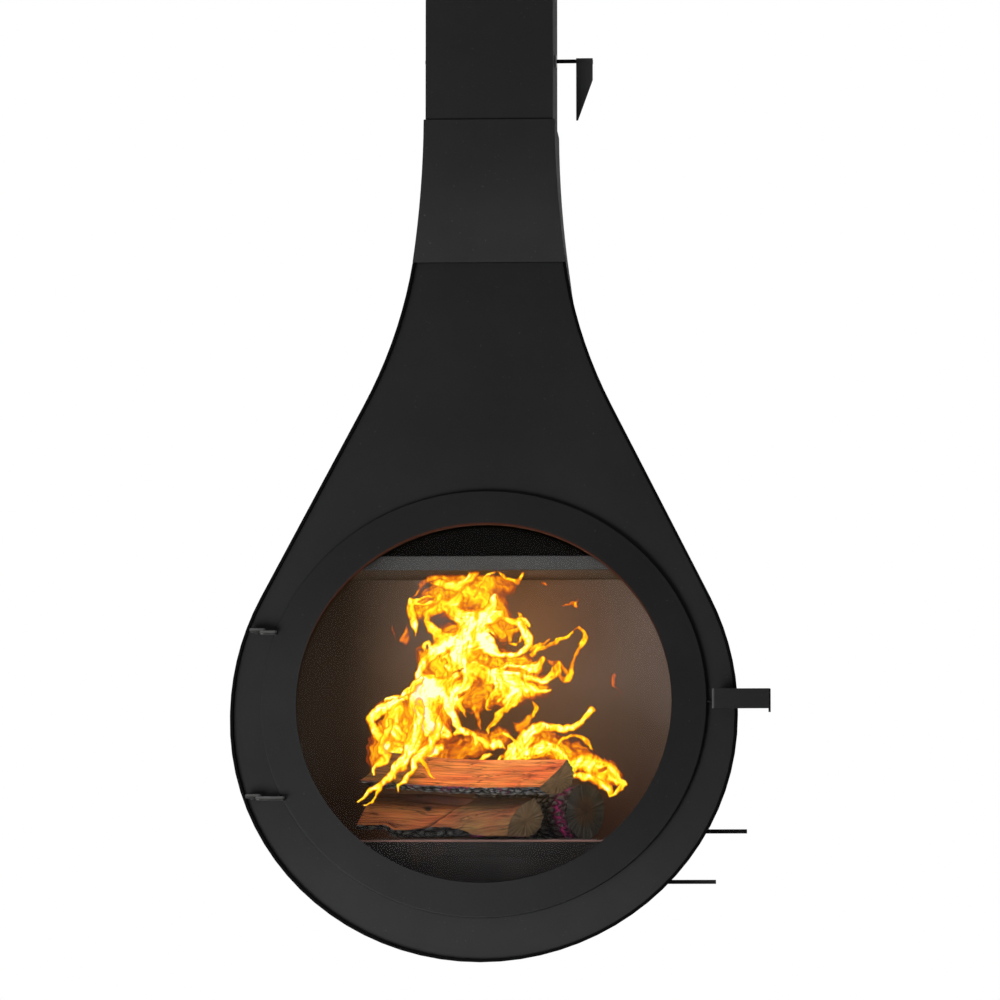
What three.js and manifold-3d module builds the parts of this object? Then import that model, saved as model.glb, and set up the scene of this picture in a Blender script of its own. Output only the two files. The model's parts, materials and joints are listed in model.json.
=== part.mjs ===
// A hanging fireplace: a drop-shaped steel body with a round glazed door, hung from the ceiling by a
// square flue casing. Millimetres, +Z up, +X to the right and -Y towards the viewer. The origin is the
// middle of the ceiling plate's top face, so every height below it is negative.
import * as THREE from "three";
import { mergeVertices } from "three/addons/utils/BufferGeometryUtils.js";
import Module from "manifold-3d";

const wasm = await Module();
wasm.setup();

// ---------------------------------------------------------------------------------------------------
// Driving dimensions
// ---------------------------------------------------------------------------------------------------
const gap = 0.3; // between neighbouring pieces that touch on the real object
const degree = Math.PI / 180;

// Ceiling fixing and flue
const ceilingToCollar = 300; // ceiling down to the collar's top edge
const ceilingPlateSide = 280;
const ceilingPlateThickness = 6;
const ceilingSleeveDepth = 50; // square sleeve under the plate that the casing is screwed to
const ceilingSleeveWall = 3;
const anchorSpacing = 230;
const anchorHoleRadius = 5.5;
const coverSide = 310;
const coverDepth = 24;
const coverWall = 1.5;
const flueSide = 175; // square casing, outside
const flueWall = 2;
const casingInsideCollar = 40;
const pipeRadius = 75; // round smoke pipe, outside
const pipeWall = 2;

// Damper
const damperDrop = 206; // ceiling down to the damper shaft
const damperShaftRadius = 2.75;
const damperDiscClearance = 2.5; // disc edge to pipe wall
const damperDiscThickness = 3;
const damperHubSpacing = 70;
const damperHubLength = 14;
const bushWall = 3;
const bushFlangeRadius = 9;
const bushFlangeThickness = 2;
const damperBladeStart = 117; // from the flue's middle to the blade's near edge
const damperBladeWidth = 23;
const damperBladeLength = 86.5; // from the top of the bar
const damperBladeShoulder = 30; // top of the bar to the end of the blade's straight outer edge
const damperBladeTip = 2.5; // width of the blunt tip
const damperBladeThickness = 3;
const damperBladeSetBack = 2.5; // behind the bar's front edge
const damperBarDepth = 20; // front to back of the flat bar that carries the blade
const damperTenonRadius = 1.5;

// Collar: flat front and back, sides that flare down to the body
const collarHeight = 198;
const collarWall = 2;
const collarSlip = 0.5; // collar to casing, all round
const neckHalfWidth = 105; // half width where the collar meets the body

// Body: drop outline in the leaning front plane, sizes measured along the slope
const lean = 14; // degrees, bottom of the front forward
const neckAngle = 8; // degrees off the slope line where the outline leaves the collar
const flankAngle = 26; // degrees, straight flank
const rimWidth = 41.5; // door's edge to the outline of the round bottom
const shoulderFullness = 25.5; // how much larger the shoulder's radius is than the bottom's
const bulbDrop = 649.5; // crease down to the middle of the round bottom
const sideRun = 6.5; // straight side between the shoulder and the round bottom
const backTaper = 20; // how much smaller the outline is at the back, at the bulb
const bandWall = 4;
const bandBevel = 2; // on the band's front outer edge
const frontRecess = 5; // the front plate lies this far behind the band's edge
const frontPlateThickness = 4;
const backPlateThickness = 3;

// Firebox
const hearthBelowDoor = 185.2; // door's middle down to the hearth plate's top
const hearthThickness = 5;
const hearthLip = 21; // turned-down front edge, over all
const hearthFront = 262; // flue's middle forward to the hearth's front edge
const backCavity = 28; // between the back liner and the back plate
const backLinerThickness = 20;
const sideLinerThickness = 18;
const baffleAboveDoor = 205.3; // door's middle up to the baffle board's top
const baffleThickness = 20;
const baffleFront = 120;
const throatPlateThickness = 4;
const spigotWall = 2;
const spigotHeight = 40;

// Grate and ash pan
const grateWidth = 300;
const grateDepth = 170;
const grateFlange = 4;
const grateBarDepth = 8;
const grateRim = 18; // flange that lies on the hearth plate
const grateMiddle = 105; // flue's middle forward to the grate's middle
const grateSlots = 11;
const grateSlotWidth = 11;
const ashPanWidth = 290;
const ashPanDepth = 176;
const ashPanHeight = 32;
const ashPanWall = 1.5;
const ashPanelThickness = 3;
const ashPanelBelowOpening = 12;
const ashBackWallThickness = 3;
const panRailWidth = 4;
const panRailHeight = 6;

// Air control: two slotted slides, each over a slotted plate
const airPlateThickness = 3;
const slideThickness = 5;
const slideInnerEnd = 150; // slide's inner end, left of the middle
const slideSlotLength = 28;
const slideSlotPitch = 62;
const slideSlots = 5;
const slideSlotMargin = 4; // metal left on each side of a slot
const panHeadroom = 10.7; // ash pan's rim to the hearth plate's underside
const primaryWidth = 20;
const primaryForward = 100; // flue's middle forward to the slide's middle
const primaryTip = 308; // flue's middle out to the slide's tip
const secondaryAboveHearth = 22.8; // hearth plate's top up to the secondary slide's middle
const secondarySideClearance = 1.5;
const secondaryTip = 349.5;
const slideWindowClearance = 0.8; // round a slide where it leaves the band
const intakeSlots = 7;
const intakeSlotWidth = 12;
const intakeSlotHeight = 34;
const intakeSlotPitch = 24;
const intakeAboveBottom = 33; // back's lowest point up to the middle of the intake slots

// Door: every ring outside the window follows from it
const doorRaise = 19.5; // door's middle above the middle of the round bottom, along the slope
const windowRadius = 251;
const doorThickness = 6;
const doorProud = 1.5; // door face in front of the band's edge
const doorEdgeBevel = 1;
const glassOverlap = 8; // glass behind the door's inner edge
const glassThickness = 4;
const gasketThickness = 1.5;
const gasketWidth = 6;
const retainerThickness = 2;
const retainerLipGap = 1; // glass edge to retainer lip
const retainerLip = 4.5;
const retainerScrews = 6;
const retainerScrewRadius = 1.6;
const retainerHeadRadius = 3;
const retainerHeadHeight = 2;
const retainerScrewReach = 3; // screw into the door ring
const openingClearance = 2.5; // retainer to the edge of the body's opening
const ropeSeat = 2.5; // edge of the opening to the rope
const ropeWidth = 8;
const ropeGrooveDepth = 2.7;
const doorOverRope = 20.5; // rope to the door's outer edge

// Hinges: flat tabs turned edge-on to the viewer, on one axis along the slope
const hingeOutside = 0.5; // axis outside the door's edge
const hingeProud = 7; // axis in front of the band's edge
const tabThickness = 3;
const tabEndRadius = 5;
const pinRadius = 2;
const hingeAboveDoor = 97; // door's middle to the hinges, along the slope
const hingeBelowDoor = 134.5;
const doorTabLap = 3.5; // door tab over the door's face
const bodyTabFoot = 6; // width of a body tab where it stands on the front plate
const bodyTabHead = 16.5; // hinge axis to the head's left end, over the band's edge
const bodyTabOverEdge = 1; // head in front of the band's edge

// Handle and swing latch, turning on one shaft in the door's right edge
const handleClearance = 7; // door's edge to the handle
const handleLength = 78;
const handleHeight = 27;
const handleWall = 3;
const handleProud = 20; // handle face in front of the band's edge
const handleReturn = 20; // depth of the return at the handle's free end
const handleBend = 3; // outside radius of the handle's folds
const handleBelowShaft = 2; // handle's middle below the shaft
const latchShaftRadius = 1.5;
const latchShaftInset = 17; // door's edge in to the shaft's inner end
const latchHingeRadius = 3; // round end of the handle's inner cheek
const latchTongueInset = 12; // door's edge in to the tongue's middle
const latchTongueWidth = 4;
const latchTongueHeight = 4;
const latchTongueReach = 27; // shaft's middle to the tongue's end
const latchNoseReach = 22;
const latchNoseHeight = 10;
const latchSwing = 35; // degrees
const latchSlotClearance = 2;

// Logs: how far right and forward of the flue's middle they lie, and how they are turned, in degrees
const splitLowLength = 246;
const splitLowRadius = 29;
const splitLowPlace = { right: -49, forward: 168, turn: -10 };
const splitTopLength = 280;
const splitTopRadius = 28;
const splitTopPlace = { right: -30, forward: 170, turn: -6 };
const roundLogLength = 185;
const roundLogRadius = 36;
const roundLogPlace = { right: 63, forward: 48, turn: -38 };
const logEndSlope = 0.1; // how far a sawn end is off square

// ---------------------------------------------------------------------------------------------------
// Derived levels
// ---------------------------------------------------------------------------------------------------
const halfFlue = flueSide / 2;
const halfDepth = halfFlue + collarSlip + collarWall; // collar and body back are flush
const collarTopZ = -ceilingToCollar;
const creaseZ = collarTopZ - collarHeight;
const leanAngle = lean * degree;
const damperZ = -damperDrop;
const pipeBore = pipeRadius - pipeWall;
const glassRadius = windowRadius + glassOverlap;
const openingRadius = glassRadius + retainerLipGap + retainerLip + openingClearance;
const ropeInnerRadius = openingRadius + ropeSeat;
const doorRadius = ropeInnerRadius + ropeWidth + doorOverRope;
const doorDrop = bulbDrop - doorRaise; // crease down to the door's middle, along the slope
const doorZ = creaseZ - doorDrop * Math.cos(leanAngle);
const bulbRadius = doorRadius + rimWidth;
const shoulderRadius = bulbRadius + shoulderFullness;
const hearthZ = doorZ - hearthBelowDoor;
const baffleTopZ = doorZ + baffleAboveDoor;
const baffleBottomZ = baffleTopZ - baffleThickness;
const backInnerY = halfDepth - backPlateThickness;
const linerBackY = backInnerY - backCavity;
const linerFrontY = linerBackY - backLinerThickness;
const panZ = hearthZ - hearthThickness - panHeadroom - ashPanHeight; // ash pan's underside
const panRailTopZ = panZ - gap;
const primaryPlateZ = panRailTopZ - panRailHeight - gap; // top of the primary air plate
const primaryZ = primaryPlateZ + gap + slideThickness / 2;
const secondaryZ = hearthZ + secondaryAboveHearth;
const secondaryPlateZ = secondaryZ - slideThickness / 2 - gap;
const intakeZ = creaseZ - (bulbDrop + bulbRadius - backTaper) * Math.cos(leanAngle) + intakeAboveBottom;
const hingeX = doorRadius + hingeOutside; // left of the middle
const latchTongueX = doorRadius - latchTongueInset;
const handleStart = doorRadius + handleClearance;
const throatZ = creaseZ + gap;
const grateTopZ = hearthZ + gap + grateFlange;
const bulbBottom = bulbDrop + bulbRadius; // slope distance from the crease to the lowest point
const reach = 2 * bulbBottom; // larger than anything that is cut
const segmentsRound = 84; // facets of the door's round pieces

// Colours and finishes
const paint = (color, roughness, metalness) =>
  new THREE.MeshStandardMaterial({ color, roughness, metalness });
const blackSteel = paint(0x2b2b2c, 0.55, 0.6);
const darkSteel = paint(0x1c1c1d, 0.6, 0.7);
const castIron = paint(0x242322, 0.8, 0.6);
const brightSteel = paint(0x9a9a98, 0.35, 0.9);
const liner = paint(0x6a5f52, 0.95, 0);
const rope = paint(0x3a3a38, 1, 0);
const ceramicGlass = paint(0xcfd6d4, 0.05, 0);
const splitWood = paint(0xb4793f, 0.85, 0);
const barkWood = paint(0x5b5048, 0.95, 0);

// ---------------------------------------------------------------------------------------------------
// Solids
// ---------------------------------------------------------------------------------------------------

// A closed three.js geometry as a solid that can be joined and cut.
function solid(geometry, matrix = new THREE.Matrix4()) {
  const bare = geometry.clone().applyMatrix4(matrix);
  bare.deleteAttribute("normal");
  bare.deleteAttribute("uv");
  const merged = mergeVertices(bare, 1e-4);
  return new wasm.Manifold(
    new wasm.Mesh({
      numProp: 3,
      vertProperties: new Float32Array(merged.attributes.position.array),
      triVerts: new Uint32Array(merged.index.array),
    }),
  );
}

// A solid back as a three.js geometry.
function geometryOf(body) {
  const made = body.getMesh();
  return new THREE.BufferGeometry()
    .setAttribute("position", new THREE.BufferAttribute(made.vertProperties, 3))
    .setIndex(new THREE.BufferAttribute(made.triVerts, 1));
}

// A box between two corners.
function box(x0, x1, y0, y1, z0, z1, matrix) {
  const geometry = new THREE.BoxGeometry(x1 - x0, y1 - y0, z1 - z0);
  geometry.translate((x0 + x1) / 2, (y0 + y1) / 2, (z0 + z1) / 2);
  return solid(geometry, matrix);
}

// A solid of revolution about Z; the profile is a closed loop of [radius, z].
function turned(profile, segments = 48) {
  const points = [...profile, profile[0]].map(([radius, z]) => new THREE.Vector2(radius, z));
  const geometry = new THREE.LatheGeometry(points, segments);
  geometry.rotateX(Math.PI / 2);
  const made = solid(geometry);
  return made.volume() < 0 ? solid(flipped(geometry)) : made;
}

// The same geometry with its faces turned round.
function flipped(geometry) {
  const turnedRound = geometry.clone();
  const index = turnedRound.index.array;
  for (let i = 0; i < index.length; i += 3) [index[i + 1], index[i + 2]] = [index[i + 2], index[i + 1]];
  return turnedRound;
}

// A plain cylinder along an axis, from one end to the other.
function rod(axis, radius, from, to, at = [0, 0, 0], segments = 24) {
  const geometry = new THREE.CylinderGeometry(radius, radius, to - from, segments);
  geometry.translate(0, (from + to) / 2, 0);
  if (axis === "x") geometry.rotateZ(-Math.PI / 2);
  if (axis === "z") geometry.rotateX(Math.PI / 2);
  geometry.translate(...at);
  return solid(geometry);
}

// A flat outline of [a, b] points, thickened along one axis: "y" takes it as (x, z), "z" as (x, y)
// and "x" as (y, z).
function plate(outline, axis, from, to, holes = []) {
  const shape = new THREE.Shape(outline.map(([a, b]) => new THREE.Vector2(a, b)));
  for (const hole of holes) {
    shape.holes.push(new THREE.Path(hole.map(([a, b]) => new THREE.Vector2(a, b))));
  }
  const geometry = new THREE.ExtrudeGeometry(shape, { depth: to - from, bevelEnabled: false });
  if (axis === "z") geometry.translate(0, 0, from);
  if (axis === "y") geometry.rotateX(Math.PI / 2).translate(0, to, 0);
  if (axis === "x") geometry.rotateX(Math.PI / 2).rotateZ(Math.PI / 2).translate(from, 0, 0);
  return solid(geometry);
}

// Points on an arc, from one angle to the other, both ends included.
function arc(x, y, radius, from, to, steps) {
  return Array.from({ length: steps + 1 }, (_, i) => {
    const angle = from + ((to - from) * i) / steps;
    return [x + radius * Math.cos(angle), y + radius * Math.sin(angle)];
  });
}

// The frame of the leaning front: x as the room's, y into the body, z up the slope from the crease.
const leaningFrame = new THREE.Matrix4()
  .makeTranslation(0, -halfDepth, creaseZ)
  .multiply(new THREE.Matrix4().makeRotationX(-leanAngle));

// Everything between two depths behind the band's front edge.
const leaningSlab = (from, to) => box(-reach, reach, from, to, -reach, reach, leaningFrame);

// ---------------------------------------------------------------------------------------------------
// Drop outline and body shell
// ---------------------------------------------------------------------------------------------------

// The right half of the drop, from above the crease to the lowest point, as points with outward
// normals. Tangent pieces: neck arc, straight flank, shoulder arc, round bottom.
function halfDrop() {
  const flank = flankAngle * degree;
  const start = neckAngle * degree;
  const shoulderX = bulbRadius - shoulderRadius;
  const shoulderS = bulbDrop - sideRun;
  const flankEnd = [
    shoulderX + shoulderRadius * Math.cos(flank),
    shoulderS - shoulderRadius * Math.sin(flank),
  ];
  const neckRadius =
    (flankEnd[0] - flankEnd[1] * Math.tan(flank) - neckHalfWidth) /
    (Math.cos(start) - Math.cos(flank) - Math.tan(flank) * (Math.sin(flank) - Math.sin(start)));
  const neckX = neckHalfWidth + neckRadius * Math.cos(start);
  const neckS = -neckRadius * Math.sin(start);
  const points = [];
  const add = (x, s, angle) => points.push({ x, s, nx: Math.cos(angle), ns: -Math.sin(angle) });
  const above = 60; // the outline runs on past the crease, to be cut there
  add(neckHalfWidth - above * Math.tan(start), -above, start);
  const steps = { neck: 9, shoulder: 7, bulb: 20 };
  for (let i = 0; i <= steps.neck; i++) {
    const angle = start + ((flank - start) * i) / steps.neck;
    add(neckX - neckRadius * Math.cos(angle), neckS + neckRadius * Math.sin(angle), angle);
  }
  for (let i = 0; i <= steps.shoulder; i++) {
    const angle = flank * (1 - i / steps.shoulder);
    add(shoulderX + shoulderRadius * Math.cos(angle), shoulderS - shoulderRadius * Math.sin(angle), angle);
  }
  for (let i = 0; i <= steps.bulb; i++) {
    const angle = (-Math.PI / 2) * (i / steps.bulb);
    add(bulbRadius * Math.cos(angle), bulbDrop - bulbRadius * Math.sin(angle), angle);
  }
  return points;
}

// The whole drop as one loop, right side down and left side up.
const right = halfDrop();
const drop = [...right, ...right.slice(0, -1).reverse().map((p) => ({ ...p, x: -p.x, nx: -p.nx }))];

// A point of the outline on the leaning front or on the upright back, drawn in by an inset.
function dropPoint(p, inset, atBack) {
  const shrink = atBack ? backTaper * THREE.MathUtils.clamp(p.s / bulbDrop, 0, 1) : 0;
  const x = p.x - p.nx * (inset + shrink);
  const s = p.s - p.ns * (inset + shrink);
  const y = atBack ? halfDepth : -halfDepth - s * Math.sin(leanAngle);
  return new THREE.Vector3(x, y, creaseZ - s * Math.cos(leanAngle));
}

// A loft of the drop from front to back through rings of { inset, front } or { inset, back }, the
// depth behind the front edge or ahead of the back edge.
function dropLoft(rings) {
  const positions = [];
  for (const { inset, front, back } of rings) {
    for (const p of drop) {
      const a = dropPoint(p, inset, false);
      const b = dropPoint(p, inset, true);
      const depth = b.y - a.y;
      const t = front === undefined ? 1 - back / depth : front / depth;
      positions.push(...a.lerp(b, t).toArray());
    }
  }
  const n = drop.length;
  const index = [];
  for (let r = 0; r + 1 < rings.length; r++) {
    for (let i = 0; i < n; i++) {
      const j = (i + 1) % n;
      const [a, b, c, d] = [r * n + i, r * n + j, (r + 1) * n + j, (r + 1) * n + i];
      index.push(a, b, d, b, c, d);
    }
  }
  const face = THREE.ShapeUtils.triangulateShape(drop.map((p) => new THREE.Vector2(p.x, p.s)), []);
  const last = (rings.length - 1) * n;
  for (const [a, b, c] of face) index.push(a, c, b, last + a, last + b, last + c);
  const geometry = new THREE.BufferGeometry()
    .setAttribute("position", new THREE.BufferAttribute(new Float32Array(positions), 3))
    .setIndex(index);
  const made = solid(geometry);
  return made.volume() < 0 ? solid(flipped(geometry)) : made;
}

// The space inside the band, less a clearance, run on past the front and the back.
const past = 30;
const insideBand = (inset) =>
  dropLoft([
    { inset: bandWall + inset, front: -past },
    { inset: bandWall + inset, back: -past },
  ]);
const bandSpace = insideBand(0);
const fitted = insideBand(gap);

// A layer of the space inside the band between two heights and two depths.
const layer = (space, y0, y1, z0, z1) => space.intersect(box(-reach, reach, y0, y1, z0, z1));

const frontKeepOut = leaningSlab(-reach, frontRecess + frontPlateThickness + gap);

// ---------------------------------------------------------------------------------------------------
// Assembly
// ---------------------------------------------------------------------------------------------------
const fireplace = new THREE.Group();
const leaningFront = new THREE.Group();
leaningFront.position.set(0, -halfDepth, creaseZ);
leaningFront.rotation.x = -leanAngle;
fireplace.add(leaningFront);

function add(name, body, material, group = fireplace) {
  const mesh = new THREE.Mesh(geometryOf(body), material);
  mesh.name = name;
  group.add(mesh);
  return mesh;
}

// Ceiling plate with its flue hole, anchor holes and the square sleeve that the casing hangs on.
function addCeilingFixing() {
  const half = ceilingPlateSide / 2;
  const sleeveOuter = halfFlue - flueWall - gap;
  const sleeveInner = sleeveOuter - ceilingSleeveWall;
  const under = -ceilingPlateThickness;
  let fixing = box(-half, half, -half, half, under, 0);
  const sleeve = box(
    -sleeveOuter,
    sleeveOuter,
    -sleeveOuter,
    sleeveOuter,
    under - ceilingSleeveDepth,
    under + 1,
  );
  const bore = box(
    -sleeveInner,
    sleeveInner,
    -sleeveInner,
    sleeveInner,
    under - ceilingSleeveDepth - 1,
    under,
  );
  const flueHole = rod("z", pipeRadius + gap, under - 1, 1, [0, 0, 0], 48);
  fixing = fixing.add(sleeve.subtract(bore)).subtract(flueHole);
  for (const x of [-anchorSpacing / 2, anchorSpacing / 2]) {
    for (const y of [-anchorSpacing / 2, anchorSpacing / 2]) {
      fixing = fixing.subtract(rod("z", anchorHoleRadius, under - 1, 1, [x, y, 0], 16));
    }
  }
  add("ceiling_plate", fixing, darkSteel);

  const out = coverSide / 2;
  const inner = out - coverWall;
  const hole = halfFlue + gap;
  const cover = box(-out, out, -out, out, -coverDepth, -gap)
    .subtract(box(-inner, inner, -inner, inner, -coverDepth + coverWall, 1))
    .subtract(box(-hole, hole, -hole, hole, -coverDepth - 1, 1));
  add("ceiling_cover", cover, blackSteel);
}

// Square casing and round smoke pipe, both drilled for the damper's bushes.
function addFlue() {
  const inner = halfFlue - flueWall;
  const bushOuter = damperShaftRadius + gap + bushWall;
  const drilling = rod("x", bushOuter + gap, -flueSide, flueSide, [0, 0, damperZ]);
  const casing = box(
    -halfFlue,
    halfFlue,
    -halfFlue,
    halfFlue,
    collarTopZ - casingInsideCollar,
    -ceilingPlateThickness - gap,
  )
    .subtract(box(-inner, inner, -inner, inner, collarTopZ - casingInsideCollar - 1, 0))
    .subtract(drilling);
  add("flue_casing", casing, blackSteel);

  const foot = throatZ + throatPlateThickness + gap;
  const pipe = turned(
    [[pipeBore, foot], [pipeRadius, foot], [pipeRadius, -gap], [pipeBore, -gap]],
  ).subtract(drilling);
  add("flue_pipe", pipe, darkSteel);
}

// Damper: a disc on a shaft that runs in two flanged bushes, with the folded pointer blade outside.
function addDamper() {
  const at = [0, 0, damperZ];
  const bushInner = damperShaftRadius + gap;
  const bushOuter = bushInner + bushWall;
  const flangeFrom = halfFlue + gap;
  const flangeTo = flangeFrom + bushFlangeThickness;
  for (const [side, name] of [[-1, "left"], [1, "right"]]) {
    const from = pipeBore + 0.5;
    const ends = side > 0 ? [from, flangeTo] : [-flangeTo, -from];
    const flange = side > 0 ? [flangeFrom, flangeTo] : [-flangeTo, -flangeFrom];
    const bush = rod("x", bushOuter, ...ends, at)
      .add(rod("x", bushFlangeRadius, ...flange, at))
      .subtract(rod("x", bushInner, ends[0] - 1, ends[1] + 1, at));
    add(`damper_bush_${name}`, bush, brightSteel);
  }

  const shaftEnd = flangeTo + 3;
  const barHalf = damperShaftRadius;
  const tenonEnd = damperBladeStart + damperBladeWidth - 5;
  const shaft = rod("x", damperShaftRadius, -shaftEnd, damperBladeStart - gap, at).add(
    rod("x", damperTenonRadius, 0, tenonEnd, at, 16),
  );
  add("damper_shaft", shaft, darkSteel);

  const faceY = damperShaftRadius + gap + 0.2;
  const radius = pipeBore - damperDiscClearance;
  let disc = rod("y", radius, faceY, faceY + damperDiscThickness, at, 64);
  for (const x of [-damperHubSpacing / 2, damperHubSpacing / 2]) {
    const half = damperHubLength / 2;
    const wall = bushInner + 2.2;
    disc = disc.add(box(x - half, x + half, -wall, faceY + 1, damperZ - wall, damperZ + wall));
  }
  add("damper_disc", disc.subtract(rod("x", bushInner, -flueSide, flueSide, at)), castIron);

  const x0 = damperBladeStart;
  const x1 = x0 + damperBladeWidth;
  const top = damperZ + barHalf;
  const bladeY = -damperBarDepth / 2 + damperBladeSetBack;
  const blade = plate(
    [[x0, damperZ], [x0, top - damperBladeLength], [x0 + damperBladeTip, top - damperBladeLength],
      [x1, top - damperBladeShoulder], [x1, damperZ]],
    "y",
    bladeY,
    bladeY + damperBladeThickness,
  );
  const bar = box(x0, x1, -damperBarDepth / 2, damperBarDepth / 2, damperZ - barHalf, top);
  const tenonHole = rod("x", damperTenonRadius + gap, x0 - 1, tenonEnd + gap, at, 16);
  add("damper_handle", blade.add(bar).subtract(tenonHole), blackSteel);
}

// Collar: straight front and back, sides that flare on one arc and leave it in line with the body.
function collarHalfWidths(inset) {
  const endAngle = Math.atan(Math.tan(neckAngle * degree) / Math.cos(leanAngle));
  const height = collarTopZ - throatZ;
  const flare = neckHalfWidth - halfDepth;
  const endSlope = Math.tan(endAngle);
  const startSlope = (2 * flare) / height - endSlope;
  const steps = 8;
  return Array.from({ length: steps + 1 }, (_, i) => {
    const t = i / steps;
    const bow = (startSlope * t + ((endSlope - startSlope) * t * t) / 2) * height;
    return [halfDepth + bow - inset, collarTopZ - height * t];
  });
}

function addCollar() {
  const outline = (inset, past) => {
    const side = collarHalfWidths(inset);
    const open = past
      ? [[side[0][0], side[0][1] + past], ...side, [side.at(-1)[0], throatZ - past]]
      : side;
    return [...open, ...open.map(([x, z]) => [-x, z]).reverse()];
  };
  const inner = halfDepth - collarWall;
  const outer = plate(outline(0, 0), "y", -halfDepth, halfDepth);
  add("collar", outer.subtract(plate(outline(collarWall, 5), "y", -inner, inner)), blackSteel);
}

// Throat plate: closes the body at the crease and carries the spigot that the smoke pipe sits on.
function addThroat() {
  const halfX = neckHalfWidth - collarWall - gap;
  const halfY = halfDepth - collarWall - gap;
  const spigotOuter = pipeBore - gap;
  const top = throatZ + throatPlateThickness;
  const side = (throatPlateThickness * Math.tan(neckAngle * degree)) / Math.cos(leanAngle);
  const base = plate(
    [[-halfX, throatZ], [halfX, throatZ], [halfX - side, top], [-halfX + side, top]],
    "y",
    -halfY,
    halfY,
  );
  const spigot = rod("z", spigotOuter, throatZ, top + spigotHeight, [0, 0, 0], 48);
  const bore = rod("z", spigotOuter - spigotWall, throatZ - 1, top + spigotHeight + 1, [0, 0, 0], 48);
  add("throat_plate", base.add(spigot).subtract(bore), darkSteel);
}

// Slide windows: where the two air slides leave the band, on the right.
function slideWindow(y0, y1, z) {
  const half = slideThickness / 2 + slideWindowClearance;
  return box(0, reach, y0 - slideWindowClearance, y1 + slideWindowClearance, z - half, z + half);
}

const secondaryY = [linerBackY + secondarySideClearance, backInnerY - secondarySideClearance];
const primaryY = [-primaryForward - primaryWidth / 2, -primaryForward + primaryWidth / 2];

function addShell() {
  const above = box(-reach, reach, -reach, reach, creaseZ, creaseZ + reach);
  const band = dropLoft([
    { inset: bandBevel, front: 0 },
    { inset: 0, front: bandBevel },
    { inset: 0, back: 0 },
  ])
    .subtract(bandSpace)
    .subtract(above)
    .subtract(slideWindow(...secondaryY, secondaryZ))
    .subtract(slideWindow(...primaryY, primaryZ));
  add("body_band", band, blackSteel);

  const opening = rod(
    "y",
    openingRadius,
    0,
    3 * frontRecess,
    [0, 0, -doorDrop],
    segmentsRound,
  ).transform(leaningFrame.toArray());
  const slotX = latchTongueX - latchTongueWidth / 2;
  const slotTop = latchNoseHeight + 2 * latchSlotClearance;
  const latchSlot = box(
    slotX - latchSlotClearance,
    slotX + latchTongueWidth + latchSlotClearance,
    0,
    3 * frontRecess,
    -doorDrop - latchTongueHeight / 2 - latchSlotClearance,
    -doorDrop + slotTop,
    leaningFrame,
  );
  const front = fitted
    .intersect(leaningSlab(frontRecess, frontRecess + frontPlateThickness))
    .subtract(above)
    .subtract(opening)
    .subtract(latchSlot);
  add("front_plate", front, blackSteel);

  let back = layer(fitted, backInnerY, halfDepth, -reach, creaseZ);
  for (let i = 0; i < intakeSlots; i++) {
    const x = (i - (intakeSlots - 1) / 2) * intakeSlotPitch;
    const half = intakeSlotWidth / 2;
    back = back.subtract(
      box(x - half, x + half, 0, reach, intakeZ - intakeSlotHeight / 2, intakeZ + intakeSlotHeight / 2),
    );
  }
  add("back_plate", back, blackSteel);
}

// Hearth plate with its turned-down front lip, the grate that drops into it, liners and baffle.
function addFirebox() {
  const deep = hearthZ - hearthThickness;
  const grateHole = [grateWidth / 2 - grateRim, grateDepth / 2 - grateRim];
  const hearth = layer(fitted, -hearthFront, linerBackY, deep, hearthZ)
    .add(layer(fitted, -hearthFront, -hearthFront + ashPanelThickness, hearthZ - hearthLip, hearthZ))
    .subtract(
      box(
        -grateHole[0],
        grateHole[0],
        -grateMiddle - grateHole[1],
        -grateMiddle + grateHole[1],
        deep - 1,
        hearthZ + 1,
      ),
    );
  add("hearth_plate", hearth, darkSteel);

  const standZ = hearthZ + gap;
  const linerTop = baffleBottomZ - gap;
  add("back_liner", layer(fitted, linerFrontY, linerBackY - gap, standZ, linerTop), liner);
  const sides = layer(fitted, -reach, linerFrontY - gap, standZ, linerTop)
    .subtract(insideBand(sideLinerThickness))
    .subtract(frontKeepOut);
  add("side_liner_left", sides.intersect(box(-reach, 0, -reach, reach, -reach, 0)), liner);
  add("side_liner_right", sides.intersect(box(0, reach, -reach, reach, -reach, 0)), liner);
  add("baffle", layer(fitted, -baffleFront, backInnerY - gap, baffleBottomZ, baffleTopZ), liner);

  const bars = box(
    -grateHole[0] + gap, grateHole[0] - gap,
    -grateMiddle - grateHole[1] + gap, -grateMiddle + grateHole[1] - gap,
    hearthZ - grateBarDepth, grateTopZ,
  );
  let grate = box(
    -grateWidth / 2, grateWidth / 2,
    -grateMiddle - grateDepth / 2, -grateMiddle + grateDepth / 2,
    hearthZ + gap, grateTopZ,
  ).add(bars);
  const slotPitch = (2 * grateHole[0]) / grateSlots;
  const slotHalf = grateHole[1] - 8;
  for (let i = 0; i < grateSlots; i++) {
    const x = (i - (grateSlots - 1) / 2) * slotPitch;
    const half = grateSlotWidth / 2;
    grate = grate.subtract(
      box(
        x - half,
        x + half,
        -grateMiddle - slotHalf,
        -grateMiddle + slotHalf,
        hearthZ - 2 * grateBarDepth,
        hearthZ + reach,
      ),
    );
  }
  add("grate", grate, castIron);
}

// Slots through an air plate or a slide, in line with each other when the air is fully open.
function airSlots(y0, y1, z) {
  const slots = [];
  for (let i = 0; i < slideSlots; i++) {
    const x = (i - (slideSlots - 1) / 2) * slideSlotPitch;
    const half = slideSlotLength / 2;
    slots.push(
      box(
        x - half,
        x + half,
        y0 + slideSlotMargin,
        y1 - slideSlotMargin,
        z - 5 * slideThickness,
        z + 5 * slideThickness,
      ),
    );
  }
  return slots;
}

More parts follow.
